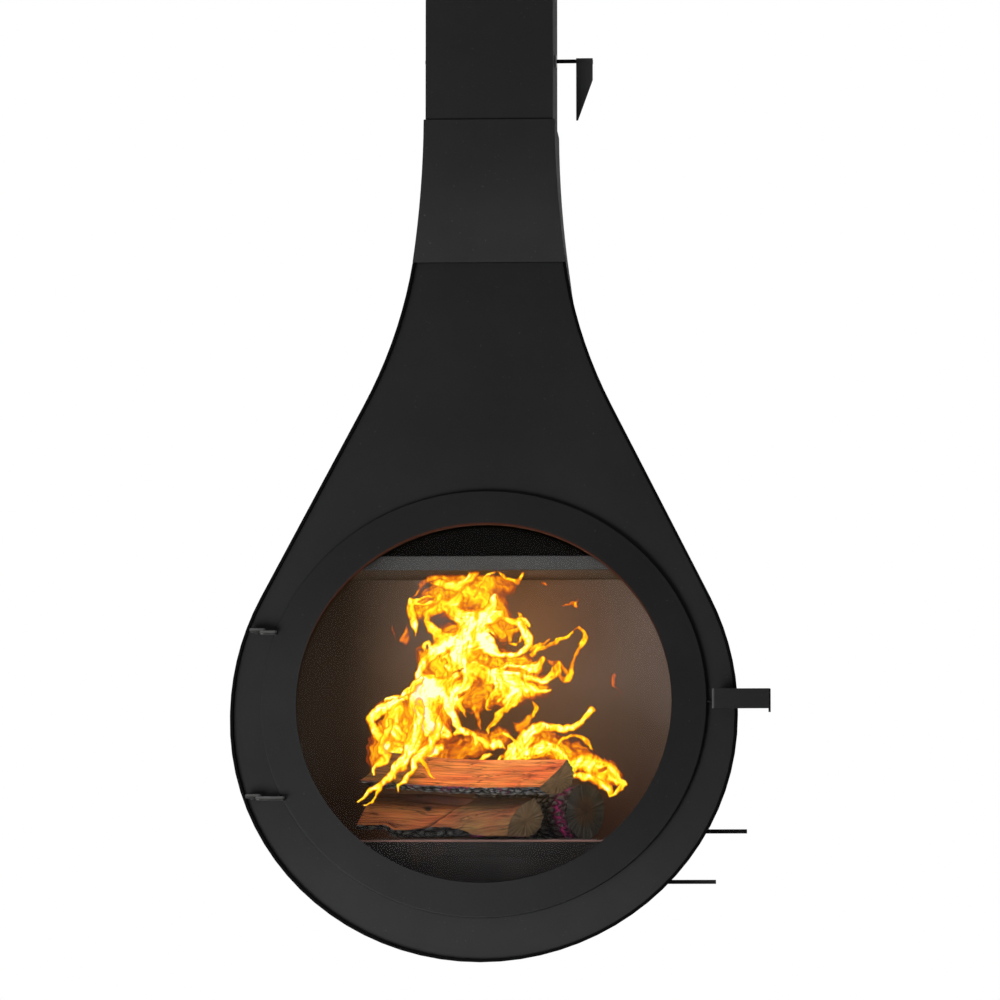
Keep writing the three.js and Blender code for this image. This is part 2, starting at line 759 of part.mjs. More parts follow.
const cutAll = (body, tools) => tools.reduce((left, tool) => left.subtract(tool), body);

// Ash chamber under the hearth, the two air plates and the slides that shut them.
function addAirControl() {
  const panelTop = hearthZ - hearthLip - gap;
  const openingBottom = doorZ - openingRadius * Math.cos(leanAngle);
  const panel = layer(
    fitted,
    -hearthFront,
    -hearthFront + ashPanelThickness,
    openingBottom - ashPanelBelowOpening,
    panelTop,
  );
  add("ash_panel", panel.subtract(frontKeepOut), darkSteel);

  const frontY = -hearthFront + ashPanelThickness + gap;
  const primarySlots = airSlots(...primaryY, primaryPlateZ);
  const primaryPlate = layer(fitted, frontY, linerBackY, primaryPlateZ - airPlateThickness, primaryPlateZ);
  add("primary_air_plate", cutAll(primaryPlate, primarySlots), darkSteel);
  add(
    "ash_back_wall",
    layer(
      fitted,
      linerBackY - ashBackWallThickness,
      linerBackY,
      primaryPlateZ + gap,
      hearthZ - hearthThickness - gap,
    ),
    darkSteel,
  );
  const slideZ = (z) => [z - slideThickness / 2, z + slideThickness / 2];
  const primarySlide = box(-slideInnerEnd, primaryTip, ...primaryY, ...slideZ(primaryZ));
  add("primary_air_slide", cutAll(primarySlide, primarySlots), blackSteel);

  const secondaryPlate = layer(
    fitted,
    linerBackY + gap,
    backInnerY - gap,
    secondaryPlateZ - airPlateThickness,
    secondaryPlateZ,
  );
  const secondarySlots = airSlots(...secondaryY, secondaryPlateZ);
  add("secondary_air_plate", cutAll(secondaryPlate, secondarySlots), darkSteel);
  const secondarySlide = box(-slideInnerEnd, secondaryTip, ...secondaryY, ...slideZ(secondaryZ));
  add("secondary_air_slide", cutAll(secondarySlide, secondarySlots), blackSteel);

  // Rails on the primary plate: the inner two guide the slide, and all four carry the ash pan.
  const panY0 = -grateMiddle - ashPanDepth / 2;
  const panY1 = panY0 + ashPanDepth;
  const guideGap = 2 * gap;
  const rails = {
    pan_rail_front: panY0 + panRailWidth,
    slide_guide_front: primaryY[0] - guideGap - panRailWidth,
    slide_guide_back: primaryY[1] + guideGap,
    pan_rail_back: panY1 - 2 * panRailWidth,
  };
  for (const [name, y] of Object.entries(rails)) {
    add(
      name,
      box(-ashPanWidth / 2, ashPanWidth / 2, y, y + panRailWidth, primaryPlateZ + gap, panRailTopZ),
      darkSteel,
    );
  }

  const pan = box(-ashPanWidth / 2, ashPanWidth / 2, panY0, panY1, panZ, panZ + ashPanHeight).subtract(
    box(
      -ashPanWidth / 2 + ashPanWall, ashPanWidth / 2 - ashPanWall,
      panY0 + ashPanWall, panY1 - ashPanWall,
      panZ + ashPanWall, panZ + 2 * ashPanHeight,
    ),
  );
  add("ash_pan", pan, darkSteel);
}

// ---------------------------------------------------------------------------------------------------
// Door. Its pieces are turned about Z and laid so that Z points into the body.
// ---------------------------------------------------------------------------------------------------
const doorFrame = new THREE.Group();
doorFrame.position.z = -doorDrop;
leaningFront.add(doorFrame);

const doorFaceY = -doorProud;
const doorBackY = doorFaceY + doorThickness;
const gasketY = doorBackY + gap;
const glassY = gasketY + gasketThickness + gap;
const retainerY = glassY + glassThickness + gap;
const latchY = (doorFaceY + doorBackY) / 2;
const layIn = new THREE.Matrix4().makeRotationX(-Math.PI / 2).toArray(); // +Z to +Y
const laid = (profile) => turned(profile, segmentsRound).transform(layIn);
const annulus = (inner, outer, y0, y1) => laid([[inner, y0], [outer, y0], [outer, y1], [inner, y1]]);

function retainerScrewPlaces() {
  const radius = glassRadius + retainerLipGap + retainerLip / 2;
  return Array.from({ length: retainerScrews }, (_, i) => {
    const angle = ((i + 0.5) * 2 * Math.PI) / retainerScrews;
    return [radius * Math.cos(angle), radius * Math.sin(angle)];
  });
}

function addDoor() {
  const ropeOuter = ropeInnerRadius + ropeWidth;
  const screws = retainerScrewPlaces();
  let ring = laid([
    [windowRadius, doorFaceY],
    [doorRadius - doorEdgeBevel, doorFaceY],
    [doorRadius, doorFaceY + doorEdgeBevel],
    [doorRadius, doorBackY],
    [ropeOuter, doorBackY],
    [ropeOuter, doorBackY - ropeGrooveDepth],
    [ropeInnerRadius, doorBackY - ropeGrooveDepth],
    [ropeInnerRadius, doorBackY],
    [windowRadius, doorBackY],
  ]);
  const clear = latchShaftRadius + gap;
  const pocketX = latchTongueX - latchTongueWidth / 2;
  const swing = latchSwing * degree;
  const pocketLow = -latchTongueHeight / 2 - gap;
  const pocketFront = latchY - (latchTongueHeight / 2) * Math.sin(swing) - gap;
  const pocketTop = (doorBackY - latchY) * Math.tan(swing) + (latchTongueHeight / 2) / Math.cos(swing) + 1;
  ring = ring
    .subtract(rod("x", clear, doorRadius - latchShaftInset - 1, doorRadius + 1, [0, latchY, 0]))
    .subtract(
      box(
        pocketX - 1,
        pocketX + latchTongueWidth + 1,
        pocketFront,
        doorBackY + 1,
        pocketLow,
        pocketTop,
      ),
    );
  for (const [x, z] of screws) {
    ring = ring.subtract(
      rod(
        "y",
        retainerScrewRadius + gap,
        doorBackY - retainerScrewReach - gap,
        doorBackY + 1,
        [x, 0, z],
        12,
      ),
    );
  }
  add("door_ring", ring, blackSteel, doorFrame);

  // Rope seal: a flattened octagon in its groove, proud enough to meet the front plate.
  const ropeY0 = doorBackY - ropeGrooveDepth + gap;
  const ropeY1 = frontRecess - gap;
  const middle = ropeInnerRadius + ropeWidth / 2;
  const halfWide = ropeWidth / 2 - gap;
  const corner = halfWide / 2;
  const chamfer = (ropeY1 - ropeY0) / 4;
  const seal = laid([
    [middle - corner, ropeY0], [middle + corner, ropeY0], [middle + halfWide, ropeY0 + chamfer],
    [middle + halfWide, ropeY1 - chamfer], [middle + corner, ropeY1], [middle - corner, ropeY1],
    [middle - halfWide, ropeY1 - chamfer], [middle - halfWide, ropeY0 + chamfer],
  ]);
  add("door_rope_seal", seal, rope, doorFrame);

  add(
    "glass_gasket",
    annulus(glassRadius - gasketWidth, glassRadius, gasketY, gasketY + gasketThickness),
    rope,
    doorFrame,
  );
  add(
    "door_glass",
    rod("y", glassRadius, glassY, glassY + glassThickness, [0, 0, 0], segmentsRound),
    ceramicGlass,
    doorFrame,
  );

  const lipInner = glassRadius + retainerLipGap;
  const lipOuter = lipInner + retainerLip;
  const retainerBack = retainerY + retainerThickness;
  let retainer = laid([
    [lipInner, gasketY], [lipOuter, gasketY], [lipOuter, retainerBack],
    [glassRadius - gasketWidth, retainerBack],
    [glassRadius - gasketWidth, retainerY],
    [lipInner, retainerY],
  ]);
  screws.forEach(([x, z], i) => {
    const shank = rod(
      "y",
      retainerScrewRadius,
      doorBackY - retainerScrewReach,
      retainerBack + gap + 1,
      [x, 0, z],
      12,
    );
    const head = rod(
      "y",
      retainerHeadRadius,
      retainerBack + gap,
      retainerBack + gap + retainerHeadHeight,
      [x, 0, z],
      12,
    );
    retainer = retainer.subtract(rod("y", retainerScrewRadius + gap, 0, retainerBack + 1, [x, 0, z], 12));
    add(`retainer_screw_${i + 1}`, shank.add(head), brightSteel, doorFrame);
  });
  add("glass_retainer", retainer, darkSteel, doorFrame);
}

// Hinges: on each, the body's tab lies on the door's, with a headed pin through both.
function addHinges() {
  const axisY = -hingeProud;
  const pinHole = pinRadius + gap;
  const plateY = frontRecess - gap;
  const hinges = [
    ["upper", doorDrop - hingeAboveDoor],
    ["lower", doorDrop + hingeBelowDoor],
  ];
  for (const [name, dropBy] of hinges) {
    const z = -dropBy;
    const hole = rod("z", pinHole, z - 3 * tabThickness, z + 3 * tabThickness, [-hingeX, axisY, 0]);
    const round = (from, to) => arc(-hingeX, axisY, tabEndRadius, from, to, 10);

    // Body tab: a foot on the front plate, reaching out to the pin.
    const footRight = -hingeX - tabEndRadius;
    const footLeft = footRight - bodyTabFoot;
    const headLeft = -hingeX - bodyTabHead;
    const bodyTab = plate(
      [[footLeft, plateY], [footLeft, -bodyTabOverEdge], [headLeft, -bodyTabOverEdge],
        [headLeft, axisY - tabEndRadius / 2], [headLeft + tabEndRadius / 2, axisY - tabEndRadius],
        ...round(-Math.PI / 2, Math.PI / 2), [footRight, axisY + tabEndRadius], [footRight, plateY]],
      "z",
      z + gap / 2,
      z + gap / 2 + tabThickness,
    );
    add(`body_hinge_tab_${name}`, bodyTab.subtract(hole), blackSteel, leaningFront);

    // Door tab: on the door's face, its far end round about the pin.
    const chord = Math.sqrt(doorRadius ** 2 - (doorDrop - dropBy) ** 2);
    const lapEnd = -chord + doorTabLap;
    const back = doorFaceY - gap;
    const doorTab = plate(
      [
        [lapEnd, axisY - tabEndRadius],
        [lapEnd, back],
        [-hingeX, back],
        ...round(Math.PI / 2, (3 * Math.PI) / 2).slice(1),
      ],
      "z",
      z - gap / 2 - tabThickness,
      z - gap / 2,
    );
    add(`door_hinge_tab_${name}`, doorTab.subtract(hole), blackSteel, leaningFront);

    const halfPin = tabThickness + gap / 2;
    const pin = rod("z", pinRadius, z - halfPin, z + halfPin, [-hingeX, axisY, 0]);
    add(`hinge_pin_${name}`, pin, darkSteel, leaningFront);
  }
}

// Handle: a folded strip whose inner cheek sits on the latch shaft. The latch's tongue passes through
// the front plate and, turned by the handle, hooks behind it.
function addHandle() {
  const x0 = handleStart;
  const x1 = x0 + handleLength;
  const faceY = -handleProud;
  const cheekEndY = latchY + latchHingeRadius;
  const low = -handleHeight / 2 - handleBelowShaft;
  const high = low + handleHeight;
  const inside = Math.max(handleBend - handleWall, gap);
  const fold = (x, y, radius, from) => arc(x, y, radius, from, from + Math.PI / 2, 5);
  const strip = plate(
    [
      [x0, cheekEndY],
      ...fold(x0 + handleBend, faceY + handleBend, handleBend, Math.PI),
      ...fold(x1 - handleBend, faceY + handleBend, handleBend, -Math.PI / 2),
      [x1, faceY + handleReturn],
      [x1 - handleWall, faceY + handleReturn],
      ...fold(x1 - handleWall - inside, faceY + handleWall + inside, inside, -Math.PI / 2).reverse(),
      ...fold(x0 + handleWall + inside, faceY + handleWall + inside, inside, Math.PI).reverse(),
      [x0 + handleWall, cheekEndY],
    ],
    "z",
    low,
    high,
  );
  const cheek = plate(
    [
      ...arc(latchY, 0, latchHingeRadius, Math.PI / 3, -Math.PI / 3, 8),
      [faceY + handleBend, low],
      [faceY - 1, low],
      [faceY - 1, high],
      [faceY + handleBend, high],
    ],
    "x",
    x0 - 1,
    x0 + handleWall + gap,
  );
  const beyondCheek = box(x0 + handleWall + gap / 2, x1 + 1, faceY - 1, faceY + reach, low - 1, high + 1);
  const shaftHole = rod("x", latchShaftRadius + gap, x0 - 1, x0 + handleWall + 1, [0, latchY, 0]);
  add("door_handle", strip.intersect(cheek.add(beyondCheek)).subtract(shaftHole), blackSteel, doorFrame);

  const shaft = rod(
    "x",
    latchShaftRadius,
    doorRadius - latchShaftInset,
    x0 + handleWall + 1,
    [0, latchY, 0],
  );
  const halfTongue = latchTongueHeight / 2;
  const tongue = plate(
    [
      [latchY, -halfTongue],
      [latchY + latchTongueReach, -halfTongue],
      [latchY + latchTongueReach, latchNoseHeight],
      [latchY + latchNoseReach, latchNoseHeight],
      [latchY + latchNoseReach, halfTongue],
      [latchY, halfTongue],
    ],
    "x",
    latchTongueX - latchTongueWidth / 2,
    latchTongueX + latchTongueWidth / 2,
  );
  add("latch_shaft", shaft.add(tongue), darkSteel, doorFrame);
}

// ---------------------------------------------------------------------------------------------------
// Logs: two split ones, one on the other, and a round one beside them.
// ---------------------------------------------------------------------------------------------------

// A log along X through its bark's middle: the bark runs on an arc from one angle to the other, and
// the split face closes it. Its sawn ends are slightly off square.
function logSolid(radius, from, to, length) {
  const section = arc(0, 0, radius, from * degree, to * degree, 15);
  const outline = new THREE.Shape(section.map(([y, z]) => new THREE.Vector2(y, z)));
  const geometry = new THREE.ExtrudeGeometry(outline, { depth: length, bevelEnabled: false });
  geometry.rotateX(Math.PI / 2).rotateZ(Math.PI / 2).translate(-length / 2, 0, 0);
  const position = geometry.attributes.position;
  for (let i = 0; i < position.count; i++) {
    position.setX(i, position.getX(i) + Math.sign(position.getX(i)) * logEndSlope * position.getZ(i));
  }
  return solid(geometry);
}

function addLogs() {
  const place = (name, body, material, { right, forward, turn }, z) => {
    const mesh = add(name, body, material);
    mesh.position.set(right, -forward, z);
    mesh.rotation.z = turn * degree;
  };
  const floor = grateTopZ + gap;
  const lowZ = floor + splitLowRadius;
  const topZ = lowZ + splitLowRadius + gap + splitTopRadius;
  const splitLow = logSolid(splitLowRadius, -120, 110, splitLowLength);
  const splitTop = logSolid(splitTopRadius, -155, 55, splitTopLength);
  const round = logSolid(roundLogRadius, -180, 157.5, roundLogLength);
  place("log_split_low", splitLow, splitWood, splitLowPlace, lowZ);
  place("log_split_top", splitTop, splitWood, splitTopPlace, topZ);
  place("log_round", round, barkWood, roundLogPlace, floor + roundLogRadius);
}

addCeilingFixing();
addFlue();
addDamper();
addCollar();
addThroat();
addShell();
addFirebox();
addAirControl();
addDoor();
addHinges();
addHandle();
addLogs();

export default fireplace;
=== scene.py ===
"""A hanging fireplace with a round glazed door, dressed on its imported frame."""

import json
import math

import bmesh
import bpy
import numpy as np
from bpy.props import (
    FloatProperty,
    FloatVectorProperty,
    IntProperty,
    PointerProperty,
)
from mathutils import Matrix, Vector

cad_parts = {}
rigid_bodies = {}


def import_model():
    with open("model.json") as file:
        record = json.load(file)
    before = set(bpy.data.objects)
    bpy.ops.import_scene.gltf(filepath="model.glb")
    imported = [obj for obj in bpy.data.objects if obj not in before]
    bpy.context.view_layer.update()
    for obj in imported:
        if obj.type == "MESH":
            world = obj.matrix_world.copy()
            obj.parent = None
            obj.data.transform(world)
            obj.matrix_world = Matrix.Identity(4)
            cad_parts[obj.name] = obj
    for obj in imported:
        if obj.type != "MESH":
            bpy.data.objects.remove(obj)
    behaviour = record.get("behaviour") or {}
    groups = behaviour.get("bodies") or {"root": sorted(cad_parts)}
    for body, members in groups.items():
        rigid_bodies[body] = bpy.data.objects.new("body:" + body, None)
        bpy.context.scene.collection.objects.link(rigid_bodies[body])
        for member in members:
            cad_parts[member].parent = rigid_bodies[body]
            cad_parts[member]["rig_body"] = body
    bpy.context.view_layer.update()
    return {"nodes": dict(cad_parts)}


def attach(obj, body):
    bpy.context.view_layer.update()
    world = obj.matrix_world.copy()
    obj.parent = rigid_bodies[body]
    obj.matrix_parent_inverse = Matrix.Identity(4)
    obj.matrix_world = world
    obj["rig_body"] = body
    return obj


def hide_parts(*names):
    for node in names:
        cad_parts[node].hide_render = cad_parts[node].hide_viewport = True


bl_info = {
    "name": "Hanging Fireplace",
    "version": (1, 0, 0),
    "blender": (4, 5, 0),
    "location": "View3D > Sidebar > Fireplace",
    "description": "Builds a hanging fireplace with its door, levers, logs and fire",
    "category": "Add Mesh",
}

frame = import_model()
NODES = frame["nodes"]

MM = 0.001
# The front leans. How far its plate is from the origin across it, and the door's middle along it
LEAN = math.radians(14.0)
FRONT_LEAN = 0.0422
DOOR_UP = -1.1350
# Heights and places in metres that a finish is keyed to
HEARTH_FRONT = -0.262
HEARTH_LIGHTER_ABOVE = -1.2968
BAFFLE_SOOT_BELOW = -0.9233


# ---------------------------------------------------------------------------
# Settings
# ---------------------------------------------------------------------------
def color_setting(name, description, default):
    """A colour that a user would change."""
    return FloatVectorProperty(
        name=name,
        description=description,
        subtype="COLOR",
        size=3,
        min=0.0,
        max=1.0,
        default=default,
    )


def number_setting(name, description, default, **limits):
    """A number that a user would change."""
    limits.setdefault("min", 0.0)
    return FloatProperty(name=name, description=description, default=default, **limits)


class PaintSettings(bpy.types.PropertyGroup):
    """Colours and finish of the steel, iron and boards."""

    shell_color: color_setting(
        "Shell", "Stove paint on the body, collar and casing", (0.0165, 0.0165, 0.0167)
    )
    # Painted shade: the band's front rim is painted darker than its sides by this factor
    rim_shade: number_setting(
        "Rim", "Brightness of the band's front rim beside its sides", 0.16, max=1.0
    )
    hinge_color: color_setting("Hinges", "Rubbed steel of the hinge tabs", (0.041, 0.0405, 0.0395))
    inner_color: color_setting(
        "Inside", "Heat-dulled paint inside the body", (0.0085, 0.0080, 0.0078)
    )
    iron_color: color_setting("Iron", "Cast grate", (0.018, 0.016, 0.0150))
    board_color: color_setting(
        "Boards", "Pressed mineral boards round the fire", (0.132, 0.107, 0.094)
    )
    baffle_color: color_setting("Baffle", "Smoked board over the fire", (0.055, 0.056, 0.056))
    rope_color: color_setting("Seals", "Braided seals of door and glass", (0.045, 0.043, 0.040))
    edge_round: number_setting(
        "Edge round", "Rounding of the sheet edges", 0.0006, subtype="DISTANCE", unit="LENGTH"
    )


class WoodSettings(bpy.types.PropertyGroup):
    """Colours of the logs."""

    split_color: color_setting("Split wood", "Freshly split face", (0.62, 0.175, 0.045))
    bark_color: color_setting("Bark", "Charred bark", (0.020, 0.020, 0.0195))
    end_color: color_setting("Sawn end", "Weathered sawn end", (0.165, 0.100, 0.044))
    glint_color: color_setting("Glint", "Glow in the cracks of the bark", (0.62, 0.035, 0.21))
    seed: IntProperty(
        name="Seed", description="Picks other bark, grain and cracks", min=0, default=3
    )


class FireSettings(bpy.types.PropertyGroup):
    """The burning fire."""

    glow: number_setting(
        "Glow", "Power of the light that the fire throws on the firebox", 0.45, unit="POWER"
    )
    strength: number_setting("Brightness", "Brightness of the flames", 1.15)
    cell: number_setting(
        "Cell",
        "Distance between the points of a flame's surface",
        0.0015,
        min=0.001,
        subtype="DISTANCE",
        unit="LENGTH",
    )
    seed: IntProperty(
        name="Seed", description="Picks another flow inside the flames", min=0, default=7
    )


class StageSettings(bpy.types.PropertyGroup):
    """Camera, lamps and background."""

    lens: number_setting("Lens", "Focal length", 216.0, min=10.0, subtype="DISTANCE_CAMERA")
    key_power: number_setting(
        "Key", "Power of the large lamp at the upper left", 24.0, unit="POWER"
    )
    fill_power: number_setting("Fill", "Power of the low lamp in front", 80.0, unit="POWER")
    world_level: number_setting("Room light", "Brightness of the room on the object", 0.18)


# ---------------------------------------------------------------------------
# Shader helpers
# ---------------------------------------------------------------------------
def new_material(name):
    """An empty node material and its shader."""
    material = bpy.data.materials.new(name)
    material.use_nodes = True
    shader = material.node_tree.nodes["Principled BSDF"]
    return material, material.node_tree, shader


def node(tree, kind, **values):
    """A node of a kind, with sockets or properties set by name."""
    made = tree.nodes.new(kind)
    for key, value in values.items():
        if key in made.inputs:
            made.inputs[key].default_value = value
        else:
            setattr(made, key, value)
    return made


def stretched(tree, scale, source=None):
    """Object coordinates, or another vector, stretched by a scale along each axis."""
    if source is None:
        source = node(tree, "ShaderNodeTexCoord").outputs["Object"]
    mapping = node(tree, "ShaderNodeMapping", Scale=scale)
    tree.links.new(source, mapping.inputs["Vector"])
    return mapping.outputs["Vector"]


def noise(tree, vector, scale, detail=3.0, roughness=0.5, distortion=0.0):
    """Noise on a vector."""
    made = node(
        tree,
        "ShaderNodeTexNoise",
        Scale=scale,
        Detail=detail,
        Roughness=roughness,
        Distortion=distortion,
    )
    tree.links.new(vector, made.inputs["Vector"])
    return made.outputs["Fac"]


def ramp(tree, fac, stops):
    """A colour ramp over (position, colour) stops."""
    made = node(tree, "ShaderNodeValToRGB")
    elements = made.color_ramp.elements
    while len(elements) < len(stops):
        elements.new(0.5)
    for element, (position, color) in zip(elements, stops):
        element.position = position
        if isinstance(color, float):
            color = (color, color, color)
        element.color = (*color, 1.0)
    tree.links.new(fac, made.inputs["Fac"])
    return made.outputs["Color"]


def span(tree, value, low, high, start=0.0, end=1.0):
    """A value mapped from start..end to low..high."""
    made = node(tree, "ShaderNodeMapRange")
    made.inputs["From Min"].default_value = start
    made.inputs["From Max"].default_value = end
    made.inputs["To Min"].default_value = low
    made.inputs["To Max"].default_value = high
    tree.links.new(value, made.inputs["Value"])
    return made.outputs["Result"]


def eased(tree, value, low, high, start, end):
    """A value mapped from start..end to low..high with level ends."""
    made = span(tree, value, low, high, start, end)
    made.node.interpolation_type = "SMOOTHSTEP"
    return made


def maths(tree, operation, *values):
    """A sum, product or the like of values and sockets."""
    made = node(tree, "ShaderNodeMath", operation=operation)
    for socket, value in zip(made.inputs, values):
        if isinstance(value, (int, float)):
            socket.default_value = value
        else:
            tree.links.new(value, socket)
    return made.outputs["Value"]


def mixed(tree, fac, first, second, blend="MIX"):
    """Two colours mixed or otherwise blended by a factor."""
    made = node(tree, "ShaderNodeMix", data_type="RGBA", blend_type=blend)
    for socket, value in ((made.inputs[0], fac), (made.inputs[6], first), (made.inputs[7], second)):
        if isinstance(value, (int, float)):
            socket.default_value = value
        elif isinstance(value, tuple):
            socket.default_value = (*value, 1.0)
        else:
            tree.links.new(value, socket)
    return made.outputs[2]


def times(tree, base, factor):
    """A colour multiplied by another, or by a value."""
    return mixed(tree, 1.0, base, factor, "MULTIPLY")


def axes(tree, vector):
    """The sockets X, Y and Z of a vector."""
    split = node(tree, "ShaderNodeSeparateXYZ")
    tree.links.new(vector, split.inputs["Vector"])
    return split.outputs


def slanted(tree, place, y_share, z_share):
    """How far a place is along a slanted line in the YZ plane."""
    return maths(
        tree,
        "ADD",
        maths(tree, "MULTIPLY", place["Y"], y_share),
        maths(tree, "MULTIPLY", place["Z"], z_share),
    )


def attribute(tree, name, output="Vector"):
    """A named attribute of the mesh."""
    return node(tree, "ShaderNodeAttribute", attribute_name=name).outputs[output]


def faded(tree, vector, base, fades):
    """A colour brightened or darkened along axes, each fade from one place to another by a factor.

    The axis "lean" is how far a point is behind the leaning front.
    """
    place = axes(tree, vector)
    lean = slanted(tree, place, math.cos(LEAN), -math.sin(LEAN))
    for axis, start, end, factor in fades:
        along = lean if axis == "lean" else place[axis]
        base = times(tree, base, eased(tree, along, 1.0, factor, start, end))
    return base


def bump(tree, shader, height, strength, distance):
    """Small relief from a height."""
    made = node(tree, "ShaderNodeBump", Strength=strength, Distance=distance)
    tree.links.new(height, made.inputs["Height"])
    tree.links.new(made.outputs["Normal"], shader.inputs["Normal"])


def shades(color, *factors):
    """A colour at several brightnesses."""
    return [tuple(channel * factor for channel in color) for factor in factors]


# ---------------------------------------------------------------------------
# Finishes
# ---------------------------------------------------------------------------
def stove_paint(name, color, roughness=0.70, specular=0.018, fades=(), glow=None):
    """Matt stove paint: orange-peel grain, faint cloudiness and a few rubbed specks.

    Fades brighten or darken it along axes, most of them painted light and shade, and glow mixes in
    a reddish brown, a painted reflection of the fire's glow.
    """
    material, tree, shader = new_material(name)
    vector = stretched(tree, (1.0, 1.0, 1.0))
    grain = noise(tree, vector, 1400.0, 2.0)
    cloud = noise(tree, vector, 5.0, 4.0, 0.6)
    dark, light, lighter = shades(color, 0.90, 1.10, 1.9)
    base = ramp(tree, cloud, [(0.3, dark), (0.7, light)])
    speck = ramp(tree, noise(tree, vector, 260.0, 1.0), [(0.74, 0.0), (0.80, 1.0)])
    base = faded(tree, vector, mixed(tree, speck, base, lighter), fades)
    if glow is not None:
        # Painted reflection of the fire's glow, in reddish brown
        base = mixed(tree, glow(tree, vector), base, (0.050, 0.016, 0.009))
    tree.links.new(base, shader.inputs["Base Color"])
    tree.links.new(
        span(tree, cloud, roughness + 0.05, roughness - 0.05, 0.3, 0.7), shader.inputs["Roughness"]
    )
    shader.inputs["Specular IOR Level"].default_value = specular
    bump(tree, shader, grain, 0.35, 0.00012)
    return material


def bare_steel(name, color, along=(1.0, 1.0, 30.0), roughness=0.42, metallic=0.6, fades=()):
    """Rubbed or turned steel: fine lines across one axis and dull patches."""
    material, tree, shader = new_material(name)
    vector = stretched(tree, (1.0, 1.0, 1.0))
    lines = noise(tree, stretched(tree, along), 90.0, 4.0, 0.7)
    patch = noise(tree, vector, 45.0, 3.0)
    dark, light = shades(color, 0.72, 1.22)
    base = ramp(tree, lines, [(0.3, dark), (0.7, light)])
    dull = shades(color, 0.45)[0]
    base = mixed(tree, ramp(tree, patch, [(0.45, 0.0), (0.7, 0.8)]), base, dull)
    tree.links.new(faded(tree, vector, base, fades), shader.inputs["Base Color"])
    polish = span(tree, patch, roughness - 0.08, roughness + 0.14)
    tree.links.new(polish, shader.inputs["Roughness"])
    shader.inputs["Metallic"].default_value = metallic
    bump(tree, shader, lines, 0.25, 0.0001)
    return material


def heat_dulled(name, color, lighter_at=None):
    """Steel inside the body: dull black with soot and a fine rust-brown bloom.

    Above a height, along the front edge, it may be lighter and redder.
    """
    material, tree, shader = new_material(name)
    vector = stretched(tree, (1.0, 1.0, 1.0))
    cloud = noise(tree, vector, 9.0, 5.0, 0.65)
    fine = noise(tree, vector, 320.0, 4.0, 0.7)
    dark, light = shades(color, 0.6, 1.35)
    base = ramp(tree, cloud, [(0.32, dark), (0.68, light)])
    bloom = ramp(tree, noise(tree, vector, 24.0, 5.0, 0.7), [(0.55, 0.0), (0.75, 0.5)])
    brown = (color[0] * 3.2, color[1] * 2.0, color[2] * 1.3)
    base = mixed(tree, bloom, base, brown)
    if lighter_at is not None:
        place = axes(tree, vector)
        ragged = maths(tree, "ADD", place["Z"], span(tree, fine, -0.0006, 0.0006))
        # A lighter, redder line along the front edge, above a height
        lighter = maths(
            tree,
            "MULTIPLY",
            span(tree, ragged, 0.0, 1.0, lighter_at - 0.0004, lighter_at + 0.0004),
            span(tree, place["Y"], 1.0, 0.0, HEARTH_FRONT + 0.0005, HEARTH_FRONT + 0.0035),
        )
        base = mixed(tree, lighter, base, (0.130, 0.068, 0.055))
    tree.links.new(base, shader.inputs["Base Color"])
    tree.links.new(span(tree, fine, 0.62, 0.87), shader.inputs["Roughness"])
    shader.inputs["Specular IOR Level"].default_value = 0.03
    bump(tree, shader, fine, 0.4, 0.0003)
    return material


def cast_iron(name, color):
    """Sand-cast iron: pitted skin, rust-brown low spots and dusty high ones."""
    material, tree, shader = new_material(name)
    vector = stretched(tree, (1.0, 1.0, 1.0))
    pits = noise(tree, vector, 420.0, 5.0, 0.7)
    cloud = noise(tree, vector, 30.0, 5.0, 0.7)
    dark, light = shades(color, 0.55, 1.6)
    rust = (color[0] * 4.5, color[1] * 2.4, color[2] * 1.4)
    base = ramp(tree, pits, [(0.3, dark), (0.7, light)])
    tree.links.new(
        mixed(tree, ramp(tree, cloud, [(0.5, 0.0), (0.72, 0.65)]), base, rust),
        shader.inputs["Base Color"],
    )
    tree.links.new(span(tree, pits, 0.68, 0.92), shader.inputs["Roughness"])
    shader.inputs["Specular IOR Level"].default_value = 0.3
    bump(tree, shader, pits, 0.6, 0.0006)
    return material


def fire_board(name, color, below=None):
    """Pressed mineral board: fine flakes, cloudy smoke, a painted shadow at the left and a painted
    red glow at the foot.

    A board over the fire is clean in front and sooted under a height instead.
    """
    material, tree, shader = new_material(name)
    vector = stretched(tree, (1.0, 1.0, 1.0))
    flake = noise(tree, vector, 520.0, 4.0, 0.7)
    soft = noise(tree, vector, 3.2, 4.0, 0.55)
    dark, light = shades(color, 0.86, 1.12)
    base = ramp(tree, flake, [(0.3, dark), (0.7, light)])
    smoke = ramp(tree, soft, [(0.32, 0.78), (0.66, 1.0)])
    base = times(tree, base, smoke)
    place = axes(tree, vector)
    if below is not None:
        under = span(tree, place["Z"], 1.0, 0.0, below - 0.0002, below + 0.0006)
        base = mixed(tree, under, base, (0.049, 0.040, 0.034))
    else:
        waver = span(tree, soft, -0.05, 0.05)
        side = maths(tree, "ADD", place["X"], waver)
        foot = maths(tree, "ADD", place["Z"], waver)
        # Painted red glow of the fire at the foot: darker and redder towards it
        low = eased(tree, foot, 1.0, 0.0, -1.30, -1.10)
        base = mixed(tree, low, base, times(tree, base, (0.52, 0.34, 0.30)))
        # Painted shadow at the left, cast by the door ring's left edge
        base = times(tree, base, eased(tree, side, 0.36, 1.0, -0.215, -0.11))
    tree.links.new(base, shader.inputs["Base Color"])
    shader.inputs["Roughness"].default_value = 0.93
    shader.inputs["Specular IOR Level"].default_value = 0.12
    bump(tree, shader, flake, 0.25, 0.0004)
    return material


